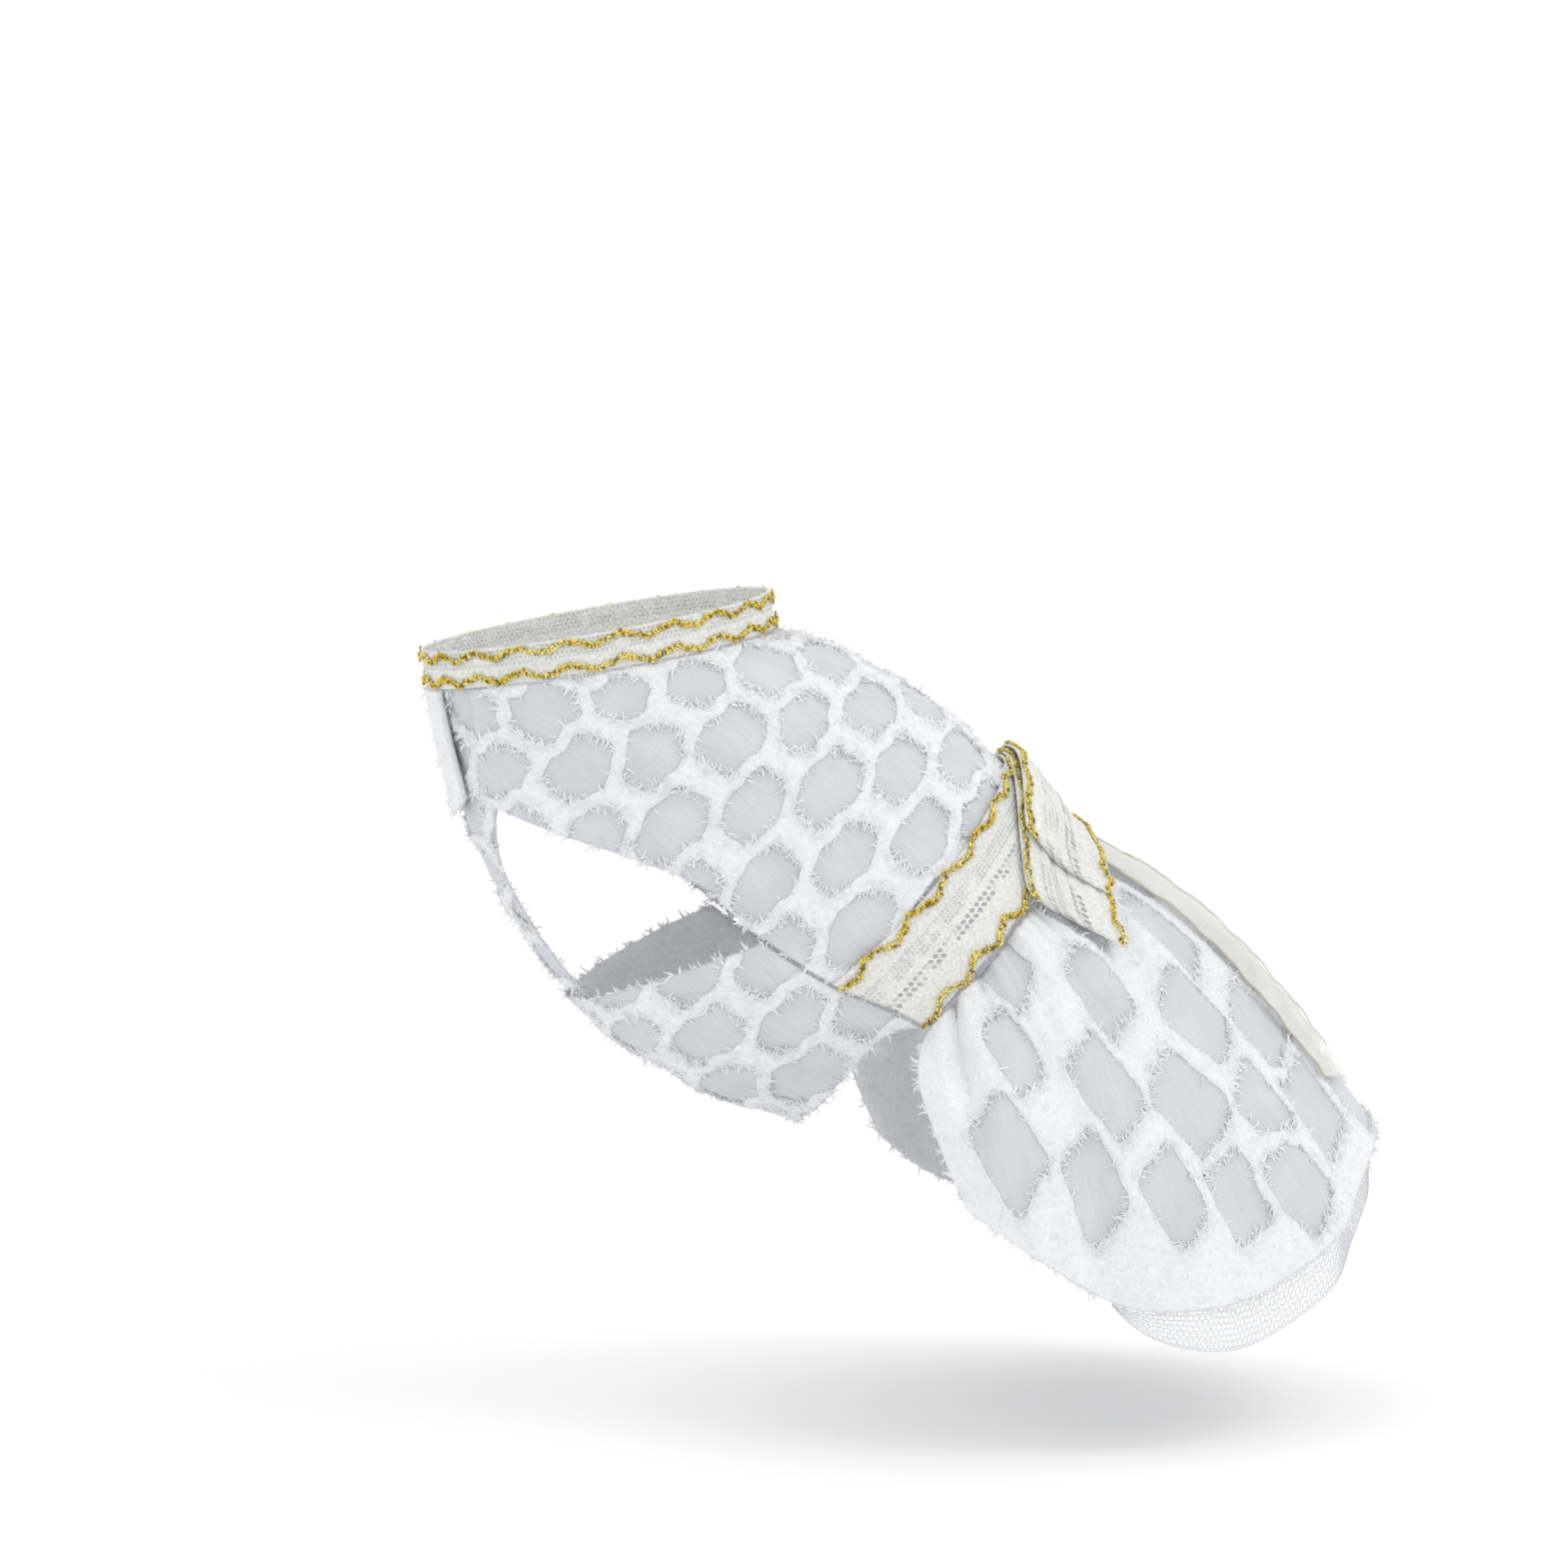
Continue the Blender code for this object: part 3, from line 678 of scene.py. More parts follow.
def windowedSheet(name, middle, centre, flat, centres, turns, wall, step, halfSize=None):
    # wall is how far the ground's outside and the lining lie from the CAD piece's middle surface
    cut = windowCut
    edge, ends = windowEdge(flat, centres, turns, halfSize or (cut["halfLength"], cut["halfWidth"]))
    normal = gridNormals(middle, centre)
    onNet = np.clip((edge + cut["edgeRun"] / 3) / cut["edgeRun"], 0, 1)
    onNet = onNet * onNet * (3 - 2 * onNet)
    lumps = noiseOver(flat, cut["lumpSize"], 5.7) + 0.6 * noiseOver(flat, cut["lumpSize"] * 2.2, 9.3)
    lip = np.exp(-((edge - cut["edgeRun"]) / cut["edgeRun"]) ** 2)
    calm = 0.4 + 0.6 * ends * np.exp(-(edge / cut["shagReach"]) ** 2)
    relief = onNet * (cut["netRise"] + cut["lump"] * lumps * calm) + cut["lip"] * lip * onNet
    outer = middle + normal * (wall[0] + relief)[..., None]
    inner = (middle - normal * wall[1])[::step, ::step]
    shaggy = (0.25 + 0.75 * ends) * np.exp(-(edge / cut["shagReach"]) ** 2)
    marks = {"net": (edge * 1000, 1.5), "shaggy": (shaggy, 0.0)}
    piece = sheetMesh(name, outer, inner, flat, marks, whiteCloth)
    return piece, outer, normal, edge, ends


def latticeCentres(start, first, second, reach):
    return [(start[0] + i * first[0] + j * second[0], start[1] + i * first[1] + j * second[1])
            for i in range(-reach, reach + 1) for j in range(-reach, reach + 1)]


def runTree(name, tree, mesh, values):
    # the tree's result on this mesh as a plain mesh piece
    carrier = bpy.data.objects.new(name + "_seed", mesh)
    scene.collection.objects.link(carrier)
    modifier = carrier.modifiers.new("nodes", "NODES")
    modifier.node_group = tree
    for item in tree.interface.items_tree:
        if item.item_type == "SOCKET" and item.in_out == "INPUT" and item.name in values:
            modifier[item.identifier] = values[item.name]
    graph = bpy.context.evaluated_depsgraph_get()
    result = bpy.data.meshes.new_from_object(carrier.evaluated_get(graph), depsgraph=graph)
    result.name = name
    bpy.data.objects.remove(carrier)
    piece = bpy.data.objects.new(name, result)
    scene.collection.objects.link(piece)
    return piece


# Loose threads: tufts at the windows' ends, frayed edges, and nap on the net

threadCut = {
    "sides": 3, "bends": 3, "radius": 0.13,      # radius as a share of the length
    "windowLength": (0.0015, 0.0038), "hemLength": (0.0016, 0.0042), "napLength": (0.0013, 0.0029),
    "hemSpacing": 0.0008, "napPerArea": 160000, "tuftPerArea": 1.60e6,
    "calmNap": 0.16, "tuftReach": 0.0042, "curl": 0.45,
}


def newTree(name, inputs):
    tree = bpy.data.node_groups.new(name, "GeometryNodeTree")
    addInputs(tree, [("Geometry", "g", None)] + inputs)
    addOutputs(tree, [("Geometry", "g")])
    return tree, add(tree, "NodeGroupInput").outputs


def close(tree, geometry, material):
    real = add(tree, "GeometryNodeRealizeInstances", {"Geometry": geometry})
    smooth = add(tree, "GeometryNodeSetShadeSmooth", {"Geometry": real.outputs[0]})
    painted = add(tree, "GeometryNodeSetMaterial", {"Geometry": smooth.outputs[0], "Material": material})
    add(tree, "NodeGroupOutput", {"Geometry": painted.outputs[0]})
    return tree


def makeThreadTree():
    # a short tapered thread on every point, laid along aim and curled a random way
    tree, source = newTree("looseThreads", [("Thickness", "f", 1.0), ("Curl", "f", 0.4), ("Seed", "i", 1),
                                            ("Material", "m", None)])
    bow = add(tree, "ShaderNodeCombineXYZ", {"X": source["Curl"], "Y": 0.0, "Z": 0.85})
    line = add(tree, "GeometryNodeCurveQuadraticBezier", {
        "Resolution": threadCut["bends"], "Start": (0, 0, 0), "Middle": (0, 0, 0.5), "End": bow.outputs[0]})
    along = add(tree, "GeometryNodeSplineParameter").outputs["Factor"]
    thin = add(tree, "ShaderNodeMapRange", {"Value": along, "To Min": 1.0, "To Max": 0.35}).outputs[0]
    sized = add(tree, "GeometryNodeSetCurveRadius", {"Curve": line.outputs[0], "Radius": thin})
    wide = calc(tree, "MULTIPLY", source["Thickness"], threadCut["radius"])
    ringOf = add(tree, "GeometryNodeCurvePrimitiveCircle", {"Resolution": threadCut["sides"], "Radius": wide})
    thread = add(tree, "GeometryNodeCurveToMesh", {
        "Curve": sized.outputs[0], "Profile Curve": ringOf.outputs[0], "Scale": thin, "Fill Caps": True})
    aim = add(tree, "GeometryNodeInputNamedAttribute", {"Name": "aim"}, data_type="FLOAT_VECTOR")
    size = add(tree, "GeometryNodeInputNamedAttribute", {"Name": "size"}, data_type="FLOAT")
    laid = add(tree, "FunctionNodeAlignRotationToVector", {"Vector": aim.outputs[0]}, axis="Z")
    spin = add(tree, "FunctionNodeRandomValue", {"Seed": source["Seed"]}, data_type="FLOAT_VECTOR")
    spin.inputs[0].default_value = (0, 0, 0)
    spin.inputs[1].default_value = (0, 0, 6.283)
    spun = {"Rotation": laid.outputs[0], "Rotate By": spin.outputs[0]}
    turned = add(tree, "FunctionNodeRotateRotation", spun, rotation_space="LOCAL")
    points = add(tree, "GeometryNodeMeshToPoints", {"Mesh": source["Geometry"]})
    threads = add(tree, "GeometryNodeInstanceOnPoints", {
        "Points": points.outputs[0], "Instance": thread.outputs[0],
        "Rotation": turned.outputs[0], "Scale": size.outputs[0]})
    return close(tree, threads.outputs[0], source["Material"])


threadTree = makeThreadTree()


def surfaceSlope(points, values):
    # the steepest way up of a value that is given on a grid of points
    alongRow, alongColumn = np.gradient(points, axis=1), np.gradient(points, axis=0)
    rise, fall = np.gradient(values, axis=1), np.gradient(values, axis=0)
    a = np.sum(alongRow * alongRow, axis=-1)
    b = np.sum(alongRow * alongColumn, axis=-1)
    c = np.sum(alongColumn * alongColumn, axis=-1)
    size = np.maximum(a * c - b * b, 1e-18)
    first, second = (c * rise - b * fall) / size, (a * fall - b * rise) / size
    return alongRow * first[..., None] + alongColumn * second[..., None]


def cellAreas(points):
    corner = points[:-1, :-1]
    return np.linalg.norm(np.cross(points[:-1, 1:] - corner, points[1:, :-1] - corner), axis=-1)


def scatterOn(points, chosen, count, random):
    # random spots in the grid's cells, weighted by chosen (one value a cell), as spots and their cells
    quad = cellAreas(points)
    weight = (quad * chosen).ravel()
    cells = random.choice(len(weight), size=count, p=weight / weight.sum())
    row, column = np.unravel_index(cells, quad.shape)
    s, t = random.random((2, count, 1))
    spots = (points[row, column] * (1 - s) * (1 - t) + points[row, column + 1] * s * (1 - t)
             + points[row + 1, column] * (1 - s) * t + points[row + 1, column + 1] * s * t)
    return spots, row, column


def threadSeeds(made, hems, random):
    # spots, aims and lengths of every loose thread of one windowed sheet
    _, outer, normal, edge, ends = made
    c = threadCut
    inward = -unit(surfaceSlope(outer, edge))
    spots, aims, sizes = [], [], []

    def keep(where, aim, lengths):
        spots.append(where)
        aims.append(unit(aim))
        sizes.append(random.uniform(*lengths, len(where)))

    middleOf = (edge[:-1, :-1] + edge[1:, 1:]) / 2
    endOf = (ends[:-1, :-1] + ends[1:, 1:]) / 2
    rim = np.exp(-((middleOf - 0.0003) / 0.0006) ** 2) * (0.16 + endOf)
    quad = cellAreas(outer)
    count = int((rim * quad).sum() * c["tuftPerArea"])
    if count:
        where, row, column = scatterOn(outer, rim, count, random)
        aim = inward[row, column] + 0.45 * normal[row, column] + random.normal(0, 0.38, (count, 3))
        keep(where, aim, c["windowLength"])
    shaggy = endOf * np.exp(-(middleOf / c["tuftReach"]) ** 2)
    net = np.clip((middleOf + 0.0002) / 0.0008, 0, 1) * (c["calmNap"] + shaggy)
    count = int((net * quad).sum() * c["napPerArea"])
    where, row, column = scatterOn(outer, net, count, random)
    flatWay = random.normal(0, 1, (count, 3))
    flatWay -= normal[row, column] * np.sum(flatWay * normal[row, column], axis=-1, keepdims=True)
    keep(where, unit(flatWay) + random.uniform(0.15, 0.8, (count, 1)) * normal[row, column], c["napLength"])
    sides = {
        "top": (outer[0], outer[1], normal[0]), "bottom": (outer[-1], outer[-2], normal[-1]),
        "left": (outer[:, 0], outer[:, 1], normal[:, 0]),
        "right": (outer[:, -1], outer[:, -2], normal[:, -1]),
    }
    for side, first, last in hems:
        line, inside, lift = sides[side]
        way = wayAlong(line, 0)
        count = int(way[-1] * (last - first) / c["hemSpacing"])
        place = np.sort(random.uniform(first, last, count)) * way[-1]
        spot = np.stack([np.interp(place, way, line[:, k]) for k in range(3)], axis=-1)
        outward = unit(line - inside)
        outward = np.stack([np.interp(place, way, outward[:, k]) for k in range(3)], axis=-1)
        over = np.stack([np.interp(place, way, lift[:, k]) for k in range(3)], axis=-1)
        clump = 0.35 + 0.65 * (np.sin(place * 700) > -0.2)
        keep(spot - over * 0.0004, outward + random.normal(0, 0.5, spot.shape) + 0.1 * over, c["hemLength"])
        sizes[-1] *= clump
    return np.concatenate(spots), np.concatenate(aims), np.concatenate(sizes)


def makeThreads(name, made, hems, seed):
    spots, aims, sizes = threadSeeds(made, hems, np.random.default_rng(seed))
    mesh = bpy.data.meshes.new(name)
    mesh.from_pydata(spots.tolist(), [], [])
    aim = mesh.attributes.new("aim", "FLOAT_VECTOR", "POINT")
    aim.data.foreach_set("vector", aims.astype(np.float32).ravel())
    size = mesh.attributes.new("size", "FLOAT", "POINT")
    size.data.foreach_set("value", sizes.astype(np.float32))
    threads = runTree(name, threadTree, mesh, {
        "Thickness": 1.0, "Curl": threadCut["curl"], "Seed": seed, "Material": whiteYarn})
    return finish(threads)


# Bodice

bodiceCut = {
    "columns": 288, "rows": 160, "step": 4,
    "start": (-0.0998, -0.0023), "first": (0.027, 0.0165), "second": (-0.0155, 0.022), "turn": 166.0,
    "backEdge": [               # station and degrees from the spine where the back panel ends
        (0.00, 146), (0.80, 150), (1.36, 155), (1.60, 144), (1.85, 133),
        (2.20, 120), (2.50, 111), (2.78, 106), (3.40, 105.4), (6.50, 105.4),
    ],
}


def bodyFlat(points, station, angle):
    # arc round the section from the spine, and way along the torso's axis
    depth, width = blendRow(sections[2], station) / 2 + cloth, blendRow(sections[3], station) / 2 + cloth
    turns = np.radians(angle)[..., None] * np.linspace(0, 1, 33)
    speed = np.hypot(np.sin(turns) * depth[..., None], np.cos(turns) * width[..., None])
    arc = np.sum((speed[..., 1:] + speed[..., :-1]) / 2 * np.diff(turns, axis=-1), axis=-1)
    axis = np.array([torsoCut["run"], -torsoCut["drop"]])
    axis /= np.linalg.norm(axis)
    along = points[..., 0] * axis[0] + points[..., 2] * axis[1]
    return np.stack([arc, along], axis=-1)


def sectionCentre(station):
    x, z = blendRow(sections[0], station), blendRow(sections[1], station)
    return np.stack([x, np.zeros_like(x), z], axis=-1)


def bodyWindows(name, middle, station, flat, reach, wall, step):
    c = bodiceCut
    centres = latticeCentres(c["start"], c["first"], c["second"], reach)
    turns = [c["turn"]] * len(centres)
    return windowedSheet(name, middle, sectionCentre(station), flat, centres, turns, wall, step)


def makeBodice():
    c = bodiceCut
    across, down = finePlaces(c["columns"], c["rows"])
    table = np.array(c["backEdge"]).T
    angle = np.zeros_like(across)
    for _ in range(6):
        station = down * beltStation(angle, bandCut["beltWidth"] + bandCut["beltHem"])
        angle = (2 * across - 1) * np.interp(station, table[0], table[1])
    middle = torso(station, angle, cloth / 2)
    flat = bodyFlat(middle, station, angle)
    made = bodyWindows("bodice_cloth", middle, station, flat, 12, (0.0, lining), c["step"])
    finish(made[0], ["bodice_back"])
    return made


bodice = makeBodice()
bodiceThreads = makeThreads("bodice_threads", bodice, [("left", 0.12, 1), ("right", 0.12, 1)], 11)

# Chest panel, the strip that closes it, and the belly panel

chestCut = {
    "columns": 24, "rows": 96, "step": 4, "end": 3.30, "sunk": 0.0002,
    "edge": [(0.00, 42), (1.20, 36), (1.60, 26), (2.10, 17), (3.40, 15)],
}
placketCut = {
    "columns": 28, "rows": 48, "width": 0.025, "length": 0.043, "round": 0.004, "fold": 0.0026,
    "angle": 184.0, "sink": 0.0011,
}
bellyCut = {
    "columns": 120, "rows": 72, "step": 4, "front": 3.05, "rear": 4.90,
    "frontDip": 0.42, "frontRun": 30, "rearRun": 4,     # dip in stations, runs in degrees from the seam
}


def makeChest():
    c = chestCut
    across, down = finePlaces(c["columns"], c["rows"])
    station = down * c["end"]
    table = np.array(c["edge"]).T
    angle = 180 + (2 * across - 1) * np.interp(station, table[0], table[1])
    middle = torso(station, angle, -loose - cloth / 2)
    flat = bodyFlat(middle, station, angle - 360)
    made = bodyWindows("chest_cloth", middle, station, flat, 20, (-c["sunk"], lining), c["step"])
    finish(made[0], ["chest_panel"])
    return made


def makePlacket():
    c = placketCut
    across, down = finePlaces(c["columns"], c["rows"])
    throat = np.full(1, 180.0)
    firstStep = np.linalg.norm(torsoPoint(np.ones(1), throat) - torsoPoint(np.zeros(1), throat))
    length = c["length"] - c["round"] * (2 * across - 1) ** 2
    half = math.degrees(c["width"] / torsoCut["width"])
    angle = c["angle"] + (2 * across - 1) * half
    station = down * length / firstStep
    middle = torso(station, angle, c["fold"] / 2)
    flat = bodyFlat(middle, station, angle - 360)
    made = windowedSheet("placket_cloth", middle, sectionCentre(station), flat, [(1.0, 1.0)], [0.0],
                         (c["fold"] / 2 - c["sink"], c["fold"] / 2 - 0.0001), 4)
    finish(made[0], ["front_placket"])
    return made


def makeBelly():
    c = bellyCut
    across, down = finePlaces(c["columns"], c["rows"])
    seamGap = math.degrees(2 * seam / torsoCut["width"])
    half = 180 - bandCut["sideSeam"] - seamGap
    angle = 180 + (2 * across - 1) * half
    fromSeam = half - np.abs(angle - 180)
    front = c["front"] + c["frontDip"] * np.exp(-fromSeam / c["frontRun"])
    corner = beltStation(bandCut["sideSeam"], bandCut["beltWidth"] + bandCut["beltHem"]) - c["rear"]
    rear = c["rear"] + corner * np.exp(-fromSeam / c["rearRun"])
    station = front + down * (rear - front)
    middle = torso(station, angle, cloth / 2)
    flat = bodyFlat(middle, station, angle - 360)
    made = bodyWindows("belly_cloth", middle, station, flat, 20, (0.0, lining), c["step"])
    finish(made[0], ["belly_panel"])
    return made


chest = makeChest()
placket = makePlacket()
belly = makeBelly()
chestThreads = makeThreads("chest_threads", chest, [("left", 0.3, 1), ("right", 0.3, 1)], 12)
placketThreads = makeThreads("placket_threads", placket, [("left", 0, 1), ("bottom", 0, 1)], 13)
bellyThreads = makeThreads("belly_threads", belly, [("top", 0, 1), ("bottom", 0.06, 0.94)], 14)

# Skirt

skirtPattern = {
    "columns": 360, "rows": 120, "step": 4, "halfFlat": 0.237,
    "start": (-0.1502, 0.0684), "first": (0.0383, 0.0300), "second": (-0.0237, 0.0265),
    "bend": (-0.0010, -0.0026), "twist": (-0.0050, -0.0050), "turn": 76.0, "straightAfter": 3,
    "halfWindow": (0.0180, 0.0128), "pleats": 21, "pleatRise": 0.0007, "pleatRun": 0.15,
    "folds": [                  # share, half width, depth and how far down each reaches
        (0.90, 0.020, 0.0034, 0.42), (0.79, 0.026, 0.0022, 0.30), (0.66, 0.022, 0.0028, 0.26),
        (0.52, 0.030, 0.0020, 0.34), (0.36, 0.024, 0.0024, 0.22),
    ],
    "hemBand": 0.0185, "frontBand": 0.020, "bulge": 0.045, "roundFrom": 0.80, "roundBy": 0.11,
}


def skirtCentres():
    # the cloth's grid of windows, bent a little as the photo's folds bend it, and even past the side it shows
    c = skirtPattern
    centres = []
    for i in range(-4, 14):
        for j in range(-9, 9):
            near = min(max(i, -1), c["straightAfter"])
            square = near * near + 2 * near * (i - near)
            cross = near * min(max(j, -1), 1)
            centres.append(tuple(c["start"][k] + i * c["first"][k] + j * c["second"][k]
                                 + square * c["bend"][k] + cross * c["twist"][k] for k in (0, 1)))
    return centres


def makeSkirt():
    c = skirtPattern
    across, down = finePlaces(c["columns"], c["rows"])
    share = (2 * across - 1) * (1 + c["bulge"] * np.sin(math.pi * down))
    corner = np.clip((np.abs(2 * across - 1) - c["roundFrom"]) / (1 - c["roundFrom"]), 0, 1)
    down = down * (1 - c["roundBy"] * corner ** 2)
    pleat = np.sin(2 * math.pi * c["pleats"] * share + 3 * np.sin(9 * share)) * np.exp(-down / c["pleatRun"])
    rise = c["pleatRise"] * pleat * np.clip(np.abs(share) / 0.03 - 1, 0, 1)
    for line, width, depth, reach in c["folds"]:
        for side in (-1, 1):
            wander = share - side * line - 0.03 * side * np.sin(2.4 * down)
            fade = np.exp(-(down / reach) ** 2)
            rise = rise - depth * np.exp(-(wander / width) ** 2) * fade
            rise = rise + 0.5 * depth * np.exp(-((np.abs(wander) - 2.2 * width) / width) ** 2) * fade
    middle = skirtPoint(share, down, rise)
    flat = np.stack([share * c["halfFlat"], wayAlong(middle, 0)], axis=-1)
    centres = []
    for spot in skirtCentres():
        hem = np.interp(spot[0], flat[-1, :, 0], flat[-1, :, 1])
        if spot[1] < hem - c["hemBand"] and abs(spot[0]) < c["halfFlat"] - c["frontBand"]:
            centres.append(spot)
    made = windowedSheet("skirt_cloth", middle, skirtCentre(down), flat, centres, [c["turn"]] * len(centres),
                         (0.0, lining), c["step"], c["halfWindow"])
    finish(made[0], ["skirt"])
    return made


skirt = makeSkirt()
skirtHems = [("bottom", 0, 1), ("left", 0.05, 1), ("right", 0.05, 1)]
skirtThreads = makeThreads("skirt_threads", skirt, skirtHems, 15)

# Petticoat

petticoatCut = {"columns": 128, "rows": 44, "span": 38 / 50, "skirtRows": 10, "drop": 0.018, "clear": 0.0030}


def petticoatPoint(across, down, lift=0.0):
    c = petticoatCut
    row = 1 + down * c["skirtRows"]
    sewn = (cloth + sheer) / 2 + gap
    below = sewn + (c["clear"] - sewn) * np.clip(row - 1, 0, 1)
    under = np.minimum(row, c["skirtRows"]) / c["skirtRows"]
    point = skirtPoint((2 * across - 1) * c["span"], under, lift - below)
    point[..., 2] -= np.maximum(0, row - c["skirtRows"]) * c["drop"] * (1 - (2 * across - 1) ** 8)
    return point


def makePetticoat():
    c = petticoatCut
    across, down = finePlaces(c["columns"], c["rows"])
    outer = petticoatPoint(across, down, 0.0001)
    inner = petticoatPoint(across, down, -0.0001)
    flat = np.stack([(2 * across - 1) * c["span"] * skirtPattern["halfFlat"], wayAlong(outer, 0)], axis=-1)
    piece = sheetMesh("petticoat_net", outer, inner, flat, {}, tulle)
    finish(piece, ["petticoat"])
    return piece


petticoat = makePetticoat()

wireCut = {"side": 0.0024, "height": 0.034, "netHeight": 0.150, "thick": 0.00016, "proud": 0.0003}


def makeNetTree():
    # the six-sided cells of a triangulated strip, each of their sides a thin thread
    tree, source = newTree("hexNet", [("Thickness", "f", 0.0001), ("Material", "m", None)])
    cells = add(tree, "GeometryNodeDualMesh", {"Mesh": source["Geometry"], "Keep Boundaries": True})
    lines = add(tree, "GeometryNodeMeshToCurve", {"Mesh": cells.outputs[0]})
    ringOf = add(tree, "GeometryNodeCurvePrimitiveCircle", {"Resolution": 3, "Radius": source["Thickness"]})
    wires = add(tree, "GeometryNodeCurveToMesh", {
        "Curve": lines.outputs[0], "Profile Curve": ringOf.outputs[0], "Fill Caps": True})
    return close(tree, wires.outputs[0], source["Material"])


def makeNetWires():
    c = wireCut
    columnCount = int(2 * skirtPattern["halfFlat"] * petticoatCut["span"] / c["side"])
    rowCount = int(c["height"] / (c["side"] * math.sqrt(3) / 2))
    row, column = np.meshgrid(np.arange(rowCount + 1), np.arange(columnCount + 1), indexing="ij")
    across = np.clip((column + 0.5 * (row % 2)) / columnCount, 0, 1)
    down = 1 - (rowCount - row) / rowCount * c["height"] / c["netHeight"]
    points = petticoatPoint(across, down, c["proud"]).reshape(-1, 3)
    index = np.arange(points.shape[0]).reshape(row.shape)
    faces = []
    for r in range(rowCount):
        a, b = index[r, :-1], index[r, 1:]
        d, e = index[r + 1, :-1], index[r + 1, 1:]
        if r % 2 == 0:
            faces += np.stack([a, b, d], -1).tolist() + np.stack([b, e, d], -1).tolist()
        else:
            faces += np.stack([a, b, e], -1).tolist() + np.stack([a, e, d], -1).tolist()
    mesh = bpy.data.meshes.new("netCells")
    mesh.from_pydata(points.tolist(), [], faces)
    wires = runTree("petticoat_wires", makeNetTree(), mesh, {
        "Thickness": c["thick"], "Material": tulleThread})
    return finish(wires)


petticoatWires = makeNetWires()

# Neck band and belt

neckCut = {"columns": 320, "rows": 16}
beltCut = {"columns": 240, "rows": 32}


def neckPoint(angle, height, lift):
    tilt = math.radians(torsoCut["stations"][0][4])
    up = np.array([-math.sin(tilt), 0, math.cos(tilt)])
    angle, height, lift = np.broadcast_arrays(*(np.asarray(v, float) for v in (angle, height, lift)))
    rim = torsoPoint(np.zeros_like(angle), angle)
    outward = unit(rim - np.array([sections[0][0], 0, sections[1][0]]))
    clothTop = np.maximum(0, (torso(np.zeros_like(angle), angle, cloth) - rim) @ up)
    return rim + outward * lift[..., None] + up * (height + clothTop + seam)[..., None]


def makeNeckBand():
    across, up = finePlaces(neckCut["columns"], neckCut["rows"])
    half = 180 - math.degrees(bandCut["neckOpening"] / torsoCut["width"])
    angle = (2 * across - 1) * half
    height = up * bandCut["neckHeight"]
    outer = neckPoint(angle, height, cloth / 2 + lace / 2)
    inner = neckPoint(angle, height, cloth / 2 - lace / 2)[::4, ::4]
    way = wayAlong(outer, 1)
    piece = sheetMesh("neck_lace", outer, inner, np.stack([way, height], axis=-1), {}, creamLace)
    return finish(piece, ["neck_band"])


def makeBelt():
    across, down = finePlaces(beltCut["columns"], beltCut["rows"])
    angle = (2 * across - 1) * (bandCut["sideSeam"] - 0.5)
    over = -bandCut["laceHem"] + down * (bandCut["beltWidth"] + 2 * bandCut["laceHem"])
    outer = torso(beltStation(angle, over), angle, cloth + gap + lace)
    inner = torso(beltStation(angle, over), angle, cloth + gap)[::4, ::4]
    way = wayAlong(outer, 1)
    piece = sheetMesh("belt_lace", outer, inner, np.stack([way, over], axis=-1), {}, creamLace)
    return finish(piece, ["waist_belt"])


neckBand = makeNeckBand()
belt = makeBelt()

# Bow and its tails

bowCut = {
    "ribbon": 0.031, "behind": 0.0205, "slant": 0.024, "large": 0.063, "small": 0.047, "puff": 0.0012,
    "rear": 0.0080, "flare": 0.0140, "rows": 24, "columns": 208, "forward": 0.0075, "tuck": 0.20,
    "lay": 0.0025, "crease": 0.0005, "settle": 0.0018,
    "braidFrom": 0.262, "braidSpan": 0.476, "braidLift": 0.0009, "braidSwing": 0.0007,
    "braids": [("front", 0.045, 1.5), ("rear", 0.955, 1.0)],    # place across the ribbon, rows apart
}


def depthAndWidth(station):
    # of one of the torso's sections, added up
    row = torsoCut["stations"][station]
    return row[2] * torsoCut["depth"] + row[3] * torsoCut["width"]


girthRadius = depthAndWidth(5) / 4


def bowPoint(across, over, reach, start, lift=0.0):
    # a flat closed loop across the spine, out on its upper layer and back on its tucked lower one
    c = bowCut
    away = np.sin(2 * math.pi * across)
    top = 0.5 - 0.5 * np.tanh(6 * np.cos(2 * math.pi * across))
    under = c["tuck"] * (1 - top) * (1 - over)
    laid = c["lay"] * top * np.exp(-over / 0.14)
    ahead = c["forward"] * (1 - over) * top
    angle = np.degrees(reach * np.sign(away) * np.abs(away) ** 0.8 / girthRadius)
    slant = c["slant"] * (np.radians(angle) * girthRadius / c["large"]) ** 2
    middle = bandCut["beltTop"] + c["behind"] / bandCut["beltWidth"]
    station = middle + (slant + (over + under - 0.5) * c["ribbon"] - ahead) / bandCut["beltWidth"]
    braidBump = braidWall * np.clip(1 + (station - middle) / 0.25, 0, 1)
    behind = np.maximum(0, station - beltStation(angle, bandCut["beltWidth"]))
    flare = c["rear"] + c["flare"] * (1 - np.cos(np.radians(angle)))
    puff = c["puff"] * np.sin(math.pi * np.abs(away)) * top
    base = cloth + gap + lace + loose + lace / 2
    height = base + start + braidBump + behind * flare + top * (lace + gap) + puff - laid
    height += c["crease"] * top * np.sin(38 * over + 5 * away) * np.abs(away)
    return torso(station, angle, height + lift)


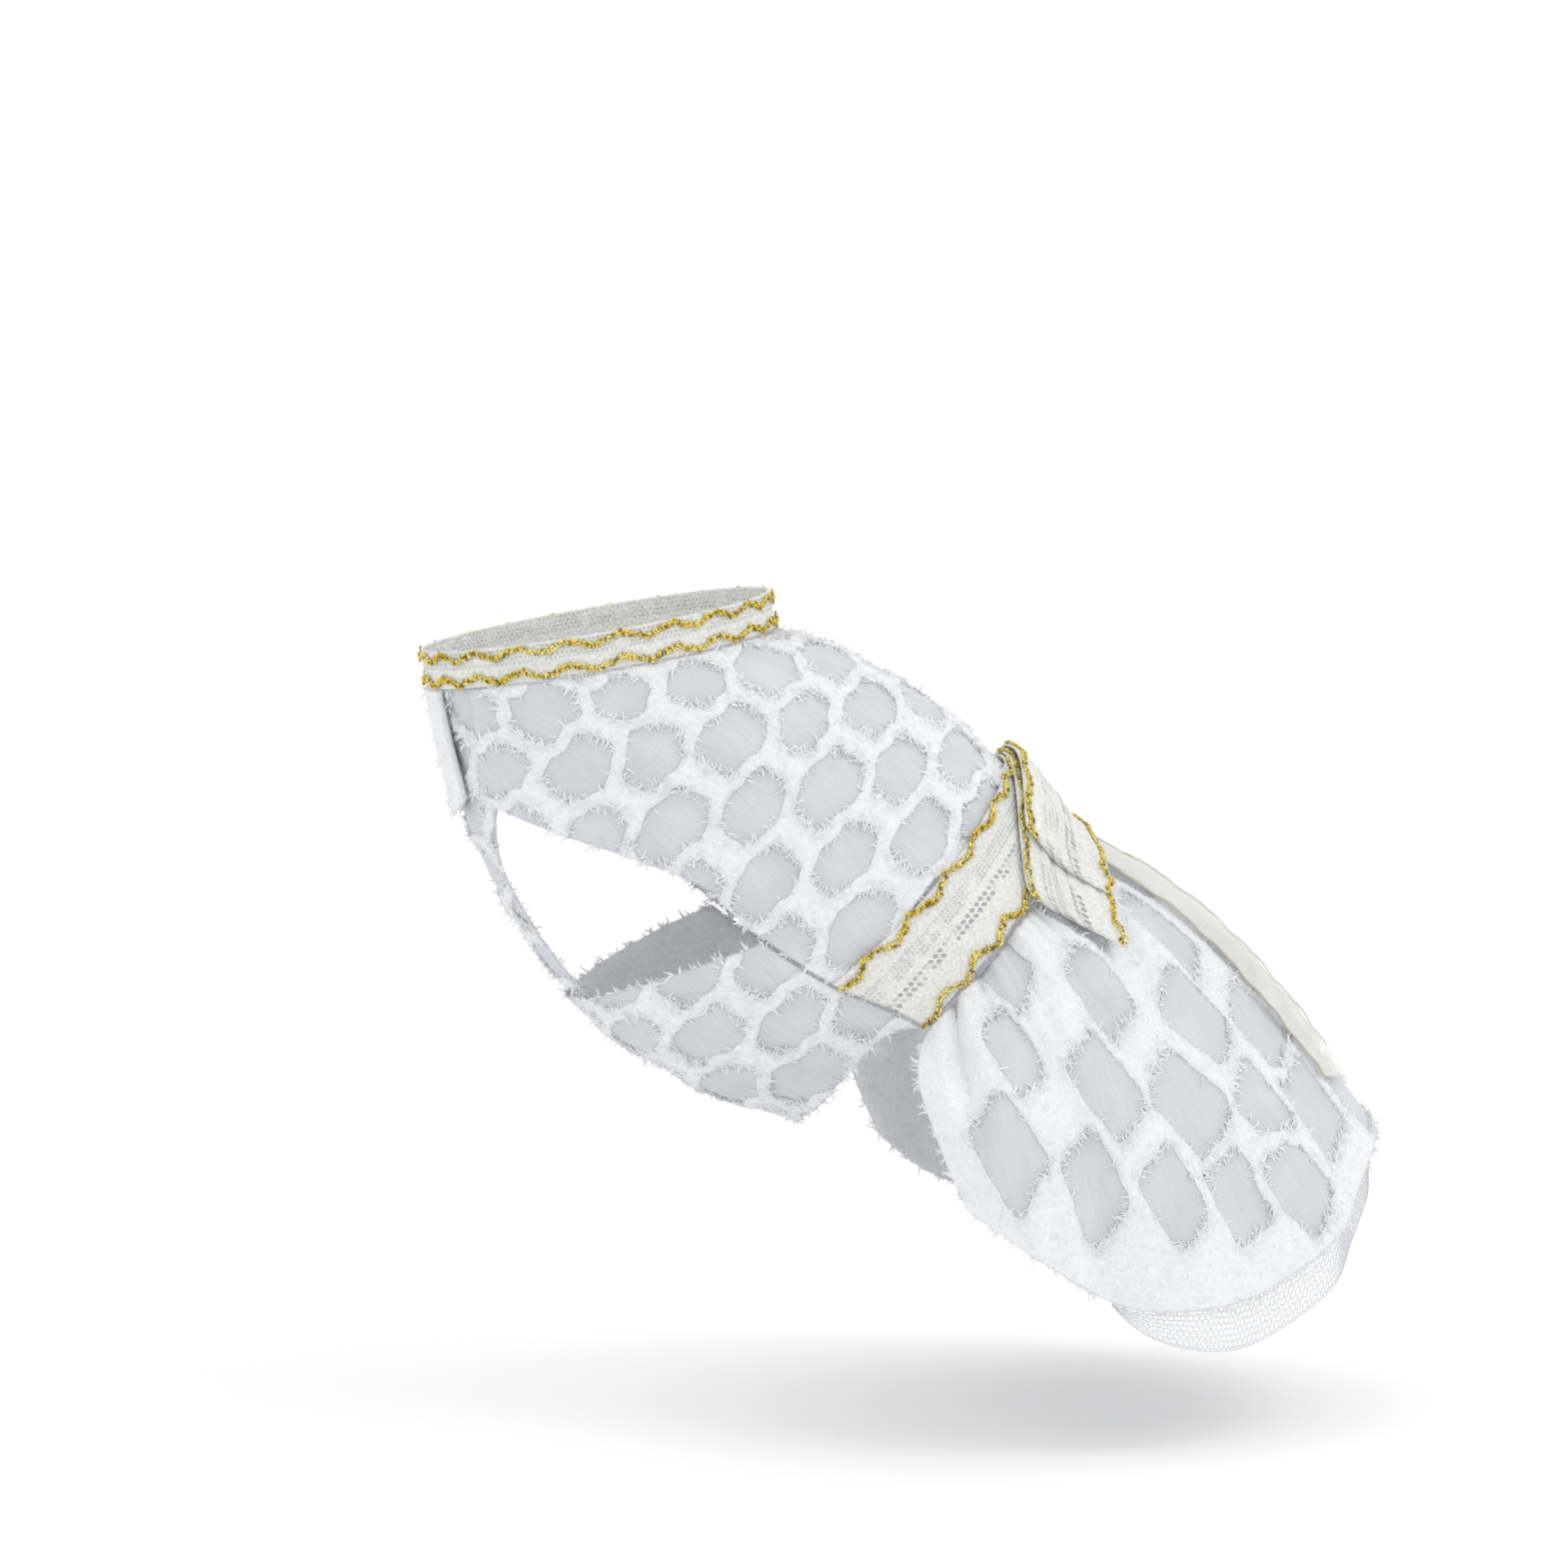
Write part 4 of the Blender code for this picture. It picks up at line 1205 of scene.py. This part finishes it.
def makeBow(name, reach, start):
    c = bowCut
    across, over = finePlaces(c["columns"], c["rows"])
    middle = bowPoint(across, over, reach, start)
    alongRow = (np.roll(middle[:, :-1], -1, axis=1) - np.roll(middle[:, :-1], 1, axis=1))
    alongRow = np.concatenate([alongRow, alongRow[:, :1]], axis=1)
    normal = unit(np.cross(alongRow, np.gradient(middle, axis=0)))
    upper = middle[c["rows"] // 2, c["columns"] // 2] - torsoPoint(np.full(1, 5.5), np.zeros(1))[0]
    if normal[c["rows"] // 2, c["columns"] // 2] @ upper < 0:
        normal = -normal
    outer = middle + normal * lace * 0.4
    inner = middle - normal * lace * 0.4
    way = wayAlong(outer, 1)
    flat = np.stack([way, over * c["ribbon"]], axis=-1)
    piece = sheetMesh(name.replace("loop", "lace"), outer, inner, flat, {}, creamLace, ring=True)
    return finish(piece, [name])


tailCut = {
    "width": 0.024, "start": 0.001, "length": 0.143, "point": 0.010, "tuck": 0.0022, "tuckRun": 0.12,
    "apart": 0.0023, "clear": 0.0014, "columns": 20, "rows": 92, "ripple": 0.0007, "halfThick": 0.0002,
}
sheerRibbon = ribbonMaterial(tailCut["width"])


def makeTail(name, side):
    c = tailCut
    across, down = finePlaces(c["columns"], c["rows"])
    backLength = math.hypot(skirtCut["reach"], skirtCut["fall"] * skirtCut["hem"][0][2])
    start = c["start"] / backLength
    spread = c["width"] / (skirtCut["width"] * (0.62 + 0.55 * down))
    length = c["length"] - c["point"] * np.abs(2 * across - 1)
    share = side * (c["apart"] / skirtCut["width"] + across * spread)
    place = start + down * length / backLength
    ripple = np.sin(31 * down + 4 * across) + 0.6 * np.sin(67 * down - 5 * across + side)
    lift = cloth / 2 + c["clear"] + sheer / 2 + c["ripple"] * (0.8 + 0.5 * ripple) * np.minimum(1, 6 * down)
    lift = lift + c["tuck"] * np.exp(-(down / c["tuckRun"]) ** 2)
    outer = skirtPoint(share, place, lift + c["halfThick"])
    inner = skirtPoint(share, place, lift - c["halfThick"])
    flat = np.stack([across * c["width"], down * length], axis=-1)
    piece = sheetMesh(name + "_ribbon", outer, inner, flat, {}, sheerRibbon)
    return finish(piece, [name])


largeBow = makeBow("bow_large_loop", bowCut["large"], 0.0)
smallStart = 2 * (lace + gap) + 2 * bowCut["puff"] - bowCut["settle"]
smallBow = makeBow("bow_small_loop", bowCut["small"], smallStart)
tails = [makeTail("tail_left", -1), makeTail("tail_right", 1)]

# Gold braid

braidCut = {
    "pitch": 0.0165, "swing": 0.0019, "neckSwing": 0.0013, "width": 0.0024, "spacing": 0.00125,
    "beadLength": 0.0017, "beadWidth": 0.0012, "rowsApart": 0.0011, "scatter": 0.00022, "pathStep": 0.0006,
    "slant": 0.7,
}


def braidTree():
    tree, source = newTree("braidBeads", [
        ("Spacing", "f", 0.001), ("Bead length", "f", 0.0015), ("Bead width", "f", 0.0008),
        ("Rows apart", "f", 0.0007), ("Slant", "f", 0.6), ("Scatter", "f", 0.0002), ("Seed", "i", 1),
        ("Material", "m", None)])
    curve = add(tree, "GeometryNodeMeshToCurve", {"Mesh": source["Geometry"]})
    spaced = {"Curve": curve.outputs[0], "Length": source["Spacing"]}
    even = add(tree, "GeometryNodeResampleCurve", spaced, mode="LENGTH")
    outward = add(tree, "GeometryNodeInputNamedAttribute", {"Name": "outward"}, data_type="FLOAT_VECTOR")
    along = add(tree, "GeometryNodeInputTangent")
    sideways = vectorCalc(tree, "CROSS_PRODUCT", {0: outward.outputs[0], 1: along.outputs[0]})
    ball = add(tree, "GeometryNodeMeshUVSphere", {"Segments": 5, "Rings": 4, "Radius": 0.5})
    joined = add(tree, "GeometryNodeJoinGeometry")
    for side in (-1, 1):
        shift = vectorCalc(tree, "SCALE", {0: sideways, "Scale": side * 0.5})
        moved = vectorCalc(tree, "SCALE", {0: shift, "Scale": source["Rows apart"]})
        astray = add(tree, "FunctionNodeRandomValue", {"Seed": source["Seed"]}, data_type="FLOAT_VECTOR")
        astray.inputs[0].default_value = (-1, -1, -1)
        astray.inputs[1].default_value = (1, 1, 1)
        strayed = vectorCalc(tree, "SCALE", {0: astray.outputs[0], "Scale": source["Scatter"]})
        moved = vectorCalc(tree, "ADD", {0: moved, 1: strayed})
        placed = add(tree, "GeometryNodeSetPosition", {"Geometry": even.outputs[0], "Offset": moved})
        lean = vectorCalc(tree, "SCALE", {0: sideways, "Scale": source["Slant"]})
        lean = vectorCalc(tree, "SCALE", {0: lean, "Scale": float(side)})
        aim = vectorCalc(tree, "ADD", {0: along.outputs[0], 1: lean})
        turn = add(tree, "FunctionNodeAlignRotationToVector", {"Vector": aim}, axis="Z")
        jitter = add(tree, "FunctionNodeRandomValue", {"Seed": source["Seed"]}, data_type="FLOAT_VECTOR")
        jitter.inputs[0].default_value = (0.65, 0.65, 0.7)
        jitter.inputs[1].default_value = (1.25, 1.25, 1.2)
        size = add(tree, "ShaderNodeCombineXYZ", {
            "X": source["Bead width"], "Y": source["Bead width"], "Z": source["Bead length"]})
        scale = vectorCalc(tree, "MULTIPLY", {0: size.outputs[0], 1: jitter.outputs[0]})
        beads = add(tree, "GeometryNodeInstanceOnPoints", {
            "Points": placed.outputs[0], "Instance": ball.outputs[0],
            "Rotation": turn.outputs[0], "Scale": scale})
        tree.links.new(beads.outputs[0], joined.inputs[0])
    return close(tree, joined.outputs[0], source["Material"])


def pathMesh(name, points, outward):
    mesh = bpy.data.meshes.new(name)
    mesh.from_pydata(points.tolist(), [(k, k + 1) for k in range(len(points) - 1)], [])
    attribute = mesh.attributes.new("outward", "FLOAT_VECTOR", "POINT")
    attribute.data.foreach_set("vector", outward.astype(np.float32).ravel())
    return mesh


beadTree = braidTree()


def makeBraid(name, edge, length, swing, nodes=(), apart=1.0):
    # edge(across, off, lift) is the seam it follows
    c = braidCut
    waves = max(3, round(length / c["pitch"]))
    across = np.linspace(0, 1, round(length / c["pathStep"]) + 1)
    turn = 2 * math.pi * waves * across
    off = swing * (0.8 * np.arcsin(np.sin(turn)) + 0.22 * np.sin(2.7 * turn + 1) + 0.18 * np.sin(4.3 * turn))
    points = edge(across, off, 0.0)
    outward = unit(edge(across, off, 0.0005) - points)
    path = pathMesh(name + "_path", points, outward)
    piece = runTree(name.replace("trim", "braid"), beadTree, path, {
        "Spacing": c["spacing"], "Bead length": c["beadLength"], "Bead width": c["beadWidth"],
        "Rows apart": c["rowsApart"] * apart, "Slant": c["slant"], "Scatter": c["scatter"],
        "Seed": 4, "Material": goldYarn})
    return finish(piece, nodes)


def makeBraids():
    half = 180 - math.degrees(bandCut["neckOpening"] / torsoCut["width"])
    girth = math.pi * depthAndWidth(0) / 2
    halfBraid = braidCut["neckSwing"] + braidCut["width"] / 2
    onNeck = cloth / 2 + lace / 2 + gap + braidWall / 2

    def neckEdge(height):
        def edge(across, off, lift):
            return neckPoint((2 * across - 1) * half, height + off, onNeck + lift)
        return edge

    top = bandCut["neckHeight"] - halfBraid
    for name, height in (("neck_trim_top", top), ("neck_trim_bottom", halfBraid)):
        makeBraid(name, neckEdge(height), girth, braidCut["neckSwing"], [name])
    length = 2 * bandCut["sideSeam"] / 360 * math.pi * depthAndWidth(5) / 2
    onBelt = cloth + gap + lace + gap + braidWall / 2

    def beltEdge(line):
        def edge(across, off, lift):
            angle = (2 * across - 1) * (bandCut["sideSeam"] - 0.5)
            return torso(beltStation(angle, line + off), angle, onBelt + lift)
        return edge

    for name, line in (("belt_trim_upper", 0.0), ("belt_trim_lower", bandCut["beltWidth"])):
        makeBraid(name, beltEdge(line), length, braidCut["swing"], [name])

    def bowEdge(reach, start, over):
        def edge(across, off, lift):
            side = over + off / bowCut["ribbon"]
            place = bowCut["braidFrom"] + bowCut["braidSpan"] * across
            return bowPoint(place, side, reach, start, bowCut["braidLift"] + lift)
        return edge

    for loop, start in (("large", 0.0), ("small", smallStart)):
        reach = bowCut[loop]
        for end, over, apart in bowCut["braids"]:
            name = "bow_" + loop + "_braid_" + end
            makeBraid(name, bowEdge(reach, start, over), 2 * reach, bowCut["braidSwing"], (), apart)


makeBraids()

# Floor and light

stageSetup = {
    "floor": -0.262, "size": 12.0, "sweepStart": 1.5, "sweep": 3.0, "sweepSteps": 24,
    "floorColor": (0.965, 0.965, 0.965, 1), "skyStrength": 1.06,
    "lamps": [                  # name, place, size and watts
        ("key", (0.9, -0.7, 1.4), 0.8, 5), ("fill", (-1.4, -1.2, 0.5), 1.2, 1.5),
    ],
}


def floorMaterial():
    material, _, shader = newMaterial("paleFloor", 0.9)
    shader.inputs["Base Color"].default_value = stageSetup["floorColor"]
    return material


def makeStage():
    c = stageSetup
    turns = np.linspace(0, math.pi / 2, c["sweepSteps"])
    profile = [(-c["size"], 0.0)]
    profile += [(c["sweepStart"] + c["sweep"] * math.sin(t), c["sweep"] * (1 - math.cos(t))) for t in turns]
    profile += [(c["sweepStart"] + c["sweep"], c["size"])]
    points = [(side * c["size"], y, c["floor"] + z) for y, z in profile for side in (-1, 1)]
    faces = [(2 * k, 2 * k + 1, 2 * k + 3, 2 * k + 2) for k in range(len(profile) - 1)]
    mesh = bpy.data.meshes.new("floor")
    mesh.from_pydata(points, [], faces)
    mesh.shade_smooth()
    mesh.materials.append(floorMaterial())
    floor = bpy.data.objects.new("floor", mesh)
    scene.collection.objects.link(floor)
    world = bpy.data.worlds.new("studio")
    scene.world = world
    world.use_nodes = True
    sky = world.node_tree.nodes["Background"].inputs
    sky["Color"].default_value = (1, 1, 1, 1)
    sky["Strength"].default_value = c["skyStrength"]
    for name, place, size, power in c["lamps"]:
        data = bpy.data.lights.new(name, "AREA")
        data.size = size
        data.energy = power
        light = bpy.data.objects.new(name, data)
        light.location = place
        light.rotation_euler = (-Vector(place)).to_track_quat("-Z", "Y").to_euler()
        scene.collection.objects.link(light)
    scene.view_settings.view_transform = "Standard"


makeStage()
